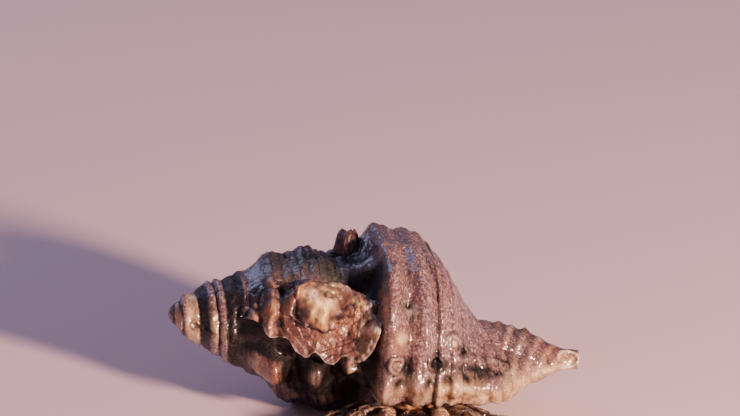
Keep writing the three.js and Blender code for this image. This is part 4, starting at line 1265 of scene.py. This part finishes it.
legParts = {   # outlines as [share along, half width, half height] over the leg's own half width
    "Merus": [[0, 0.62, 0.7], [0.12, 0.8, 0.86], [0.4, 1.0, 1.0], [0.75, 0.98, 0.98], [0.95, 0.96, 0.9],
              [1, 0.9, 0.8]],
    "Carpus": [[0, 0.72, 0.74], [0.2, 0.9, 0.92], [0.6, 1.04, 1.06], [0.9, 1.0, 0.98], [1, 0.9, 0.88]],
    "Propodus": [[0, 0.8, 0.82], [0.15, 1.0, 0.98], [0.6, 0.98, 0.96], [0.92, 0.86, 0.86], [1, 0.76, 0.78]],
    "Dactyl": [[0, 0.84, 0.86], [0.14, 1.0, 0.98], [0.45, 0.86, 0.84], [0.8, 0.56, 0.56], [0.94, 0.4, 0.4],
               [1, 0.32, 0.32]],
}
legArch = {"Merus": 0.25, "Dactyl": 0.7}      # mm that the middle stands above the straight line
legTall = 1.1                                 # height of a leg for its width
tipLift = 0.3                                 # mm that a toe's middle line ends above the floor


def legTufts(u, phi):
    # bristles stand in rows along a leg
    return 0.35 + 0.65 * (np.abs(np.sin(2.5 * phi + 0.3)) > 0.8)


def makeWalkingLegs():
    index = 0
    for leg, joints in legJoints.items():
        points = [place(*joint) for joint in joints]
        rank, side = (leg[:-5], "right") if leg.endswith("Right") else (leg[:-4], "left")
        for n, (part, outline) in enumerate(legParts.items()):
            isToe = part == "Dactyl"
            way = direction(points[n], points[n + 1])
            first, last = points[n] + way * crab["gap"], points[n + 1] - way * crab["gap"]
            if isToe:
                last = points[n + 1] + [0, 0, tipLift]
            middle = (first + last) / 2 + [0, 0, legArch.get(part, 0)]
            half = crab["legWidths"][n] / 2
            stations = [[at, wide * half, high * half * legTall] for at, wide, high in outline]
            seed = 500 + index
            grid = limbGrid([first, middle, last], stations, 52, 60, (0.05, 0.05), legRelief(seed, 1.0))
            limbPiece(f"{leg}{part}", grid, legMarks(grid, seed, half, 0.84 if isToe else None), legSkin,
                      [f"{rank}_leg_{side}_{part.lower()}"])
            noteBristles(grid, index, 230 if isToe else 150, 0.75 if isToe else 0.62, 0.45, legTufts)
            index += 1


makeWalkingLegs()
print("the walking legs are made")


def clawRelief(seed, size):
    def relief(u, phi, points):
        crust = layeredNoise(points, 0.9, seed, 2)
        large, small = warts(points, 0.85, seed + 5), warts(points, 0.45, seed + 6)
        return size * (0.07 * crust + 0.22 * large ** 1.4 + 0.06 * small)
    return relief


def clawMarks(grid, seed, tipFrom=None, light=0.0):
    u = grid["u"]
    streak = layeredNoise(np.stack([grid["phi"] * 2.2, u * 2.0, u * 0 + seed], -1), 0.5, seed, 2)
    streak = np.clip(smoothStep(0.25, 0.7, streak) * 0.55 + light, 0, 1)
    wart = smoothStep(0.45, 0.8, warts(grid["places"], 0.85, seed + 5)) * 0.85
    tip = tipMask(u, tipFrom, 0.05)
    return np.stack([streak * (1 - tip), wart * (1 - tip), tip, np.ones_like(u)], -1)


clawParts = {
    # the two joints it runs between, mm left free at either, mm it arches, outline, ring, steps, round
    # ends, seed step, relief, how light, bristles: place on the unwrap, number, how far they lean
    "Arm": [("shoulder", "elbow"), (0.15, 0.2), 0.2,
            [[0, 1.1, 1.15], [0.3, 1.5, 1.55], [0.75, 1.58, 1.62], [1, 1.4, 1.45]],
            60, 56, 0.08, 0, 0.8, 0.45, (20, 120, 0.4)],
    "Wrist": [("elbow", "wrist"), (0.2, 0.15), 0.25,
              [[0, 1.3, 1.3], [0.4, 1.68, 1.68], [0.8, 1.65, 1.6], [1, 1.45, 1.4]],
              64, 52, 0.1, 2, 1.0, 0.25, (21, 170, 0.35)],
    "Palm": [("wrist", "knuckle"), (0.15, -0.3), 0.2,
             [[0, 1.2, 1.2], [0.16, 1.9, 1.75], [0.45, 2.42, 2.1], [0.75, 2.4, 1.95], [1, 1.7, 1.3]],
             84, 80, 0.12, 4, 1.0, 0.0, (24, 420, 0.35)],
}
clawNodes = {"Arm": "arm", "Wrist": "wrist", "Palm": "hand"}
finger = {
    "outline": [[0, 0.75, 0.9], [0.2, 0.95, 1.15], [0.6, 0.8, 0.95], [0.88, 0.52, 0.6], [1, 0.34, 0.4]],
    "fixedOut": 1.1, "movingIn": -1.2,     # mm beside the middle of the palm
    "fixedRoot": 0.72,                     # share of the palm where the fixed finger starts
    "movingGap": 0.75,                     # mm from the knuckle to the moving finger
    "darkFrom": 0.84,
}


def makeFingers(name, hand, seed):
    _, _, wrist, knuckle, tip = clawPlaces(hand)
    starts = {"FixedFinger": (finger["fixedOut"], wrist + (knuckle - wrist) * finger["fixedRoot"]),
              "MovingFinger": (finger["movingIn"], knuckle + direction(wrist, knuckle) * finger["movingGap"])}
    for index, (word, (beyond, start)) in enumerate(starts.items()):
        offset = np.array([hand * beyond, 0, 0])
        line = [start + offset, start + (tip - start) * 0.55 + offset * 1.25, tip + offset * 0.35]
        grid = limbGrid(line, finger["outline"], 48, 64, (0.1, 0.05), clawRelief(seed + 8, 0.6))
        limbPiece(f"claw{name}{word}", grid, clawMarks(grid, seed + 8, finger["darkFrom"]), clawSkin,
                  [f"claw_{name.lower()}_finger"] if word == "MovingFinger" else [])
        noteBristles(grid, 30 + (hand + 1) * 2 + index, 160, 0.55, 0.4, lambda u, phi: (u < 0.85) * 0.8)


def makeClaws():
    for name, hand in crab["hands"].items():
        seed = 620 + 20 * (hand + 1)
        places = dict(zip(clawJoints, clawPlaces(hand)))
        grids = {}
        for word, row in clawParts.items():
            ends, free, arch, outline, ring, steps, rounding, more, size, light, _ = row
            start, end = (places[joint] for joint in ends)
            way = direction(start, end)
            line = [start + way * free[0], (start + end) / 2 + [0, 0, arch], end - way * free[1]]
            grid = limbGrid(line, outline, ring, steps, (rounding, rounding), clawRelief(seed + more, size))
            limbPiece(f"claw{name}{word}", grid, clawMarks(grid, seed + more, light=light), clawSkin,
                      [f"claw_{name.lower()}_{clawNodes[word]}"])
            grids[word] = grid
        makeFingers(name, hand, seed)
        for word, settings in clawParts.items():
            index, count, lean = settings[-1]
            noteBristles(grids[word], index + (hand + 1), count, 0.6, lean, lambda u, phi: 0.5 + 0 * u)


makeClaws()
print("the claws are made")


def headMarks(grid, seed, centres, reach, radius):
    ragged = latticeNoise(grid["places"], 0.7, seed)
    dark = stripeMask(grid["phi"] + 0.08 * ragged, centres, reach, radius) * 0.9
    pale = smoothStep(0.1, 0.6, ragged) * 0.8
    return np.stack([pale, dark, pale * 0, np.ones_like(pale)], -1)


def ringed(count, size):
    # feelers are a chain of short rings
    def relief(u, phi, points):
        return size * np.abs(np.sin(math.pi * u * count)) ** 0.6
    return relief


def corneaMaterial():
    # hard clear cornea over black: a small sharp highlight, broken up by the facets
    material, tree, surface = newMaterial("black wet cornea", {
        "Base Color": "0A0A0C", "Roughness": 0.08, "IOR": 1.38, "Coat Weight": 1.0, "Coat Roughness": 0.02})
    coords = addNode(tree, "ShaderNodeTexCoord").outputs["Object"]
    facets = addNode(tree, "ShaderNodeTexVoronoi", links={"Vector": coords, "Scale": 1 / (0.09 * mm)})
    bump = addNode(tree, "ShaderNodeBump", links={
        "Height": facets.outputs["Distance"], "Strength": 0.15, "Distance": 0.02 * mm})
    tree.links.new(bump.outputs[0], surface.inputs["Normal"])
    return material


# the small parts of one side: a line beside the crab's middle, an outline of half widths (and
# heights), how finely it is made, its rings or crust, its stripes, and where its bristles go
headParts = {
    "eyestalk": {
        "line": [(1.1, -20.1, 5.1), (1.3, -22.2, 5.7), (1.5, -24.3, 6.3)],
        "outline": [[0, 0.62], [0.2, 0.66], [0.6, 0.56], [1, 0.68]],
        "mesh": (40, 44, (0.05, 0.05)), "seed": 0, "stripes": ((90, -90, 20, 160), 0.13, 0.6),
        "skin": stalkSkin, "node": "eyestalk", "slot": "eyestalk_skin"},
    "eye": {
        "line": [(1.5, -24.35, 6.32), (1.56, -25.15, 6.525), (1.62, -26.0, 6.75)],
        "outline": [[0, 0.66], [0.3, 0.75], [0.6, 0.74], [1, 0.6]],
        "mesh": (40, 40, (0.1, 0.55)), "seed": 0,
        "skin": corneaMaterial(), "node": "eye", "slot": "eye_surface"},
    "antennule": {
        "line": [(0.7, -20.4, 3.6), (0.9, -25.4, 4.5), (1.0, -28.6, 6.6), (1.5, -31.4, 6.4)],
        "outline": [[0, 0.3], [0.28, 0.4], [0.33, 0.3], [0.62, 0.38], [0.66, 0.28], [1, 0.25]],
        "mesh": (24, 90, (0.02, 0.02)), "seed": 1, "rings": (26, 0.03), "stripes": ((0, 180), 0.08, 0.35),
        "skin": stalkSkin, "node": "antennule", "slot": "feeler"},
    "antennaBase": {
        "line": [(2.45, -19.9, 3.9), (2.65, -22, 4.5), (2.75, -24.2, 5.0)],
        "outline": [[0, 0.45], [0.3, 0.66], [0.48, 0.5], [0.56, 0.6], [0.78, 0.42], [0.84, 0.5], [1, 0.4]],
        "mesh": (40, 60, (0.05, 0.05)), "seed": 2, "crust": 0.7, "stripes": ((60, -120), 0.14, 0.55),
        "skin": stalkSkin, "node": "antenna_base", "slot": "eyestalk_skin"},
    "antenna": {
        "line": [(2.75, -24.4, 5.05), (2.35, -28.4, 6.9), (3.2, -33.5, 8.5), (7.2, -40.5, 8.3),
                 (13, -46.4, 5.6)],
        "outline": [[0, 0.34], [0.2, 0.32], [0.6, 0.28], [1, 0.25]],
        "mesh": (16, 300, (0.005, 0.005)), "seed": 3, "rings": (88, 0.03), "stripes": ((), 0.1, 0.3),
        "skin": stalkSkin, "node": "antenna", "slot": "feeler"},
    "mouthFoot": {
        "line": [(1.5, -18.9, 1.9), (1.9, -22.4, 2.3), (1.2, -24.6, 1.2)],
        "outline": [[0, 0.5], [0.25, 0.8, 0.75], [0.5, 0.6], [0.58, 0.7, 0.66], [0.8, 0.42], [1, 0.3]],
        "mesh": (40, 60, (0.05, 0.05)), "seed": 4, "crust": 0.8, "legStripes": (0.7,),
        "bristles": (40, 260, 0.8, 0.5, 0.3), "skin": clawSkin, "node": "mouth_foot", "slot": "claw_plate"},
    "fourthLeg": {
        "line": [(5.5, -7.9, 3.4), (7.0, -8.4, 3.2), (8.2, -10.6, 1.5)],
        "outline": [[0, 0.45], [0.3, 0.65], [0.52, 0.5], [0.6, 0.58], [0.85, 0.42], [1, 0.3]],
        "mesh": (40, 56, (0.05, 0.05)), "seed": 6, "crust": 0.8, "legStripes": (0.6, 0.9),
        "bristles": (48, 160, 0.6, 0.45, 0.4), "skin": legSkin, "node": "fourth_leg", "slot": "leg_plate"},
}


def makeHeadPart(name, hand, word, part):
    seed = 700 + 10 * (hand + 1) + part["seed"]
    relief, marks = None, None
    if "rings" in part:
        relief = ringed(*part["rings"])
    elif "crust" in part:
        relief = legRelief(seed, part["crust"])
    grid = limbGrid([beside(hand, *point) for point in part["line"]], part["outline"], *part["mesh"], relief)
    if "stripes" in part:
        marks = headMarks(grid, seed, *part["stripes"])
    elif "legStripes" in part:
        marks = legMarks(grid, seed, *part["legStripes"])
    limbPiece(word + name, grid, marks, part["skin"], [f"{part['node']}_{name.lower()}"])
    if "bristles" in part:
        # thicker towards the tip
        index, count, length, lean, least = part["bristles"]
        noteBristles(grid, index + hand + 1, count, length, lean, lambda u, phi: least + (1 - least) * u)


def makeHead():
    for name, hand in crab["hands"].items():
        for word, part in headParts.items():
            makeHeadPart(name, hand, word, part)


makeHead()
print("the head is made")


skin = {
    "voxel": 0.24,               # mm, how fine the skin is drawn out of its parts
    "bodyCentre": (8.2, -13.2, 4.4),
    "bodyHalf": (4.9, 6.3, 3.1),
    "underShield": (0.15, 0.15, 0.45),   # mm that the body stays inside the shield
    "shieldEdge": 4.9,
    "shieldThick": 0.35,
    # the tail inside the shell as [along, degrees round, distance out], and its outline
    "tailRoot": (8.2, -9.2, 4.0),
    "tail": [[47, 120, 9.6], [46.6, 105, 11.2], [46, 84, 12], [45, 62, 12.2], [44, 44, 12]],
    "tailOutline": [[0, 2.2, 2.0], [0.16, 2.6, 2.4], [0.35, 3.1, 2.9], [0.6, 3.35, 3.15], [0.84, 2.6, 2.5],
                    [1, 1.5, 1.4]],
    "jointReach": 0.14,          # share of the plate on either side that a joint's skin runs into
    "legJointWidth": 0.74,       # of the leg's own width
    "clawRoot": (2.9, -15.8, 3.4),
    # stubs under the small limbs, beside the crab's middle: three places, then half widths at the ends
    "stubs": [
        [(1.0, -17.6, 4.6), (1.05, -19, 4.9), (1.15, -20.6, 5.2), 0.7, 0.48],
        [(2.0, -17.4, 3.9), (2.3, -19, 3.9), (2.5, -20.4, 4.0), 0.8, 0.4],
        [(5.0, -9.0, 3.6), (5.3, -8.4, 3.5), (5.8, -8.0, 3.4), 0.8, 0.42],
        [(1.2, -17.4, 2.6), (1.4, -18.4, 2.1), (1.55, -19.3, 1.95), 0.9, 0.5],
        [(0.6, -17.8, 3.7), (0.65, -19, 3.6), (0.7, -20.7, 3.65), 0.7, 0.3]],
}
skinFinish = {
    # uncalcified crab skin: soft, moist and a little see-through at the thin places
    "name": "moist crab skin",
    "shader": {"Roughness": 0.4, "Subsurface Weight": 0.18, "Subsurface Scale": 0.6 * mm,
               "Subsurface Radius": (1.0, 0.5, 0.3), "Coat Weight": 0.4, "Coat Roughness": 0.15},
    "masks": {"marks": ["pale", "dark"]},
    "patterns": {"blotch": [1.6, 5.0, 0.6], "grain": [0.25, 3.0, 0.6]},
    "base": ("blotch", [(0.35, "3A2A20"), (0.5, "6A4B36"), (0.66, "94704E")]),
    "layers": [
        ["pale", ("blotch", [(0.35, "9A6A50"), (0.5, "C79878"), (0.66, "DDBCA0")])],
        ["dark", "2A2018"]],
    "bumps": [["grain", 0.35, 0.1]],
}


def bodyPlaces():
    centre = place(*skin["bodyCentre"]) - [0, 0, 0.35]
    half = np.array(skin["bodyHalf"]) - skin["underShield"]
    t, p = np.meshgrid(np.linspace(-math.pi / 2, math.pi / 2, 60), np.linspace(0, fullTurn, 81),
                       indexing="ij")
    way = np.stack([np.cos(t) * np.cos(p), np.cos(t) * np.sin(p), np.sin(t)], -1)
    points = centre + way * half
    points = points + way * (0.12 * layeredNoise(points, 1.6, 800, 3))[..., None]
    points[:, -1] = points[:, 0]
    points[0], points[-1] = points[0].mean(0), points[-1].mean(0)
    points[..., 2] = np.minimum(points[..., 2], skin["shieldEdge"] + 0.5)
    return points


def tailFolds(u, phi, points):
    wave = layeredNoise(points, 1.8, 811, 2)
    return 0.1 * np.sin(u * 46 + wave * 1.5) + 0.12 * wave


def jointSkin(before, at, after, half, reach):
    # the soft skin between two plates
    ends = [at + (before - at) * skin["jointReach"], at, at + (after - at) * reach]
    return limbGrid(ends, [[0, half], [1, half]], 24, 20, (0.2, 0.2))["places"]


def fleshParts():
    tail = [shellPlace(np.array(s), np.array(math.radians(d)), np.array(r)) for s, d, r in skin["tail"]]
    parts = [bodyPlaces(), limbGrid([place(*skin["tailRoot"])] + tail, skin["tailOutline"], 60, 70,
                                    (0.1, 0.08), tailFolds)["places"]]
    for joints in legJoints.values():
        points = [place(*joint) for joint in joints]
        inward = place(crab["middle"], points[0][1] - crab["offset"][1] + 0.4, 3.4)
        root = [points[0] + (inward - points[0]) * 0.32, points[0],
                points[0] + (points[1] - points[0]) * 0.09]
        parts.append(limbGrid(root, [[0, 1.3, 1.3], [0.5, 1.15, 1.2], [1, 0.8, 0.85]], 24, 20,
                              (0.2, 0.15))["places"])
        for n in (1, 2, 3):
            half = crab["legWidths"][n] * 0.5 * skin["legJointWidth"]
            parts.append(jointSkin(*points[n - 1:n + 2], half, skin["jointReach"]))
    for hand in crab["hands"].values():
        shoulder, elbow, wrist, knuckle, _ = clawPlaces(hand)
        root = beside(hand, *skin["clawRoot"])
        parts.append(limbGrid([root, (root + shoulder) / 2, shoulder + (elbow - shoulder) * 0.1],
                              [[0, 1.5], [0.6, 1.25], [1, 0.95]], 24, 24, (0.2, 0.15))["places"])
        parts.append(jointSkin(shoulder, elbow, wrist, 1.05, 0.13))
        parts.append(jointSkin(elbow, wrist, knuckle, 1.05, 0.13))
        for *line, wide, narrow in skin["stubs"]:
            parts.append(limbGrid([beside(hand, *point) for point in line], [[0, wide], [1, narrow]],
                                  24, 16, (0.2, 0.2))["places"])
    return parts


def makeSkin():
    pieces = [gridPiece(f"skinPart{index}", places) for index, places in enumerate(fleshParts())]
    deselectAll()
    for piece in pieces:
        piece.select_set(True)
    bpy.context.view_layer.objects.active = pieces[0]
    bpy.ops.object.join()
    piece = bpy.context.object
    piece.name = "softSkin"
    applyModifier(piece, "REMESH", mode="VOXEL", voxel_size=skin["voxel"] * mm)
    applyModifier(piece, "SMOOTH", factor=0.5, iterations=4)
    bpy.ops.object.shade_smooth()
    keepInBox(piece)
    points = pointsOf(piece)
    back = smoothStep(-11.5, -8.0, points[:, 1] - crab["offset"][1])
    crust = layeredNoise(points, 1.2, 831, 2)
    pale = back * 0.9 + 0.35 * (1 - smoothStep(1.8, 3.4, points[:, 2])) + 0.2 * crust
    paintMasks(piece, "marks", pale, 0.5 * smoothStep(0.3, 0.8, crust) * (1 - back), pale * 0)
    finishPiece(piece, buildMaterial(skinFinish), ["thorax", "abdomen"])


def makeShield():
    # the one hard plate over the front of the body, arched and closed below
    centre, half = place(*skin["bodyCentre"]), np.array(skin["bodyHalf"])
    edge = skin["shieldEdge"] + 0.22
    reach = math.sqrt(1 - ((edge - skin["bodyCentre"][2]) / half[2]) ** 2)
    s, p = np.meshgrid(np.sin(np.linspace(0, math.pi / 2, 60)), np.linspace(0, fullTurn, 101), indexing="ij")
    x = np.cos(p) * half[0] * reach * s
    y = np.sin(p) * half[1] * reach * s
    z = half[2] * np.sqrt(np.clip(1 - (x / half[0]) ** 2 - (y / half[1]) ** 2, 0, 1))
    points = np.stack([x, y, z], -1) + centre
    crust = layeredNoise(points, 1.1, 850, 3)
    wart = warts(points, 0.7, 853)
    groove = np.exp(-((np.abs(x) - 1.1 - 0.14 * y) / 0.22) ** 2) * (y < 2.0) * (y > -4.6)
    neck = np.exp(-((y - 1.6 + 0.09 * x * x) / 0.3) ** 2)
    fade = 1 - smoothStep(0.93, 1.0, s)
    points[..., 2] += fade * (0.08 * crust + 0.06 * wart - 0.16 * groove - 0.26 * neck - 0.05)
    under = points[::-1] - [0, 0, skin["shieldThick"]]
    under[0] = points[-1] - [0, 0, 0.12]
    full = np.concatenate([points, under])
    full[:, -1] = full[:, 0]
    full[-1] = full[-1].mean(0)
    pale = 0.6 * smoothStep(0.1, 0.7, crust) + 0.35 * smoothStep(0.5, 0.8, wart)
    marks = np.clip(np.stack([pale, 0.7 * groove + 0.7 * neck, pale * 0, pale * 0 + 1], -1), 0, 1)
    limbPiece("frontShield", {"places": full}, np.concatenate([marks, marks[::-1]]), shieldSkin,
              ["shield"])


makeSkin()
makeShield()
print("the soft skin and the shield are made")


bristle = {
    "sunk": 0.12,                              # mm that the root stands in the plate
    "bow": 0.18,                               # how far a bristle sags for its length
    "shares": [0.0, 0.4, 0.75, 1.0],           # where its rings stand along it
    "halfWidths": [0.055, 0.042, 0.026, 0.004],
    "sides": 3,
    "unwrap": 0.003,                           # size of one bristle on the unwrap
}
bristleFinish = {
    # stiff chitin, golden brown and slightly glossy: a thin bright edge to the legs
    "name": "chitin bristle",
    "shader": {"Roughness": 0.4},
    "patterns": {"shade": [0.5, 2.0, 0.5]},
    "base": ("shade", [(0.4, "3A2818"), (0.55, "7A5C38"), (0.7, "B89A6A")]),
}


def bristlePlaces():
    # every bristle is a thin three-sided spine with a slight bow
    roots, ways, lengths, _ = (np.array(values) for values in zip(*bristleRoots))
    side = np.cross(ways, [0.31, 0.17, 0.94])
    side = side / np.linalg.norm(side, axis=1)[:, None]
    other = np.cross(ways, side)
    places = np.zeros((len(roots), len(bristle["shares"]), bristle["sides"] + 1, 3))
    for row, (share, width) in enumerate(zip(bristle["shares"], bristle["halfWidths"])):
        spine = roots + ways * (lengths * share - bristle["sunk"])[:, None]
        spine = spine - np.outer(lengths * share ** 2 * bristle["bow"], [0, 0, 1])
        for column in range(bristle["sides"] + 1):
            turn = column * fullTurn / bristle["sides"]
            places[:, row, column] = spine + (side * math.cos(turn) + other * math.sin(turn)) * width
    return places


def makeBristles():
    # one grid as long as all the bristles end to end; the strips between two are then taken away
    places = bristlePlaces()
    count, rows, columns = places.shape[:3]
    piece, i, j = gridPrimitive("bristles", columns, count * rows)
    movePoints(piece, places.reshape(count * rows, columns, 3)[i, j])
    mesh = piece.data
    owner = i // rows
    layer = mesh.uv_layers.active or mesh.uv_layers.new(name="OFBake")
    layer.name = "OFBake"
    loops = np.empty(len(mesh.loops), int)
    mesh.loops.foreach_get("vertex_index", loops)
    spots = np.array([root[3] for root in bristleRoots])
    patch = np.stack([j / (columns - 1) - 0.5, (i % rows) / (rows - 1) - 0.5], 1) * bristle["unwrap"]
    layer.data.foreach_set("uv", (0.01 + 0.98 * spots[owner] + patch)[loops].ravel())
    firsts = np.empty(len(mesh.polygons), int)
    mesh.polygons.foreach_get("loop_start", firsts)
    bpy.ops.object.mode_set(mode="EDIT")
    bpy.ops.mesh.select_mode(type="FACE")
    bpy.ops.object.mode_set(mode="OBJECT")
    mesh.polygons.foreach_set("select", owner[loops[firsts]] != owner[loops[firsts + 2]])
    bpy.ops.object.mode_set(mode="EDIT")
    bpy.ops.mesh.delete(type="ONLY_FACE")
    closeSeams(0.001 * mm)
    keepInBox(piece)
    finishPiece(piece, buildMaterial(bristleFinish))


makeBristles()
print(len(bristleRoots), "bristles are made")
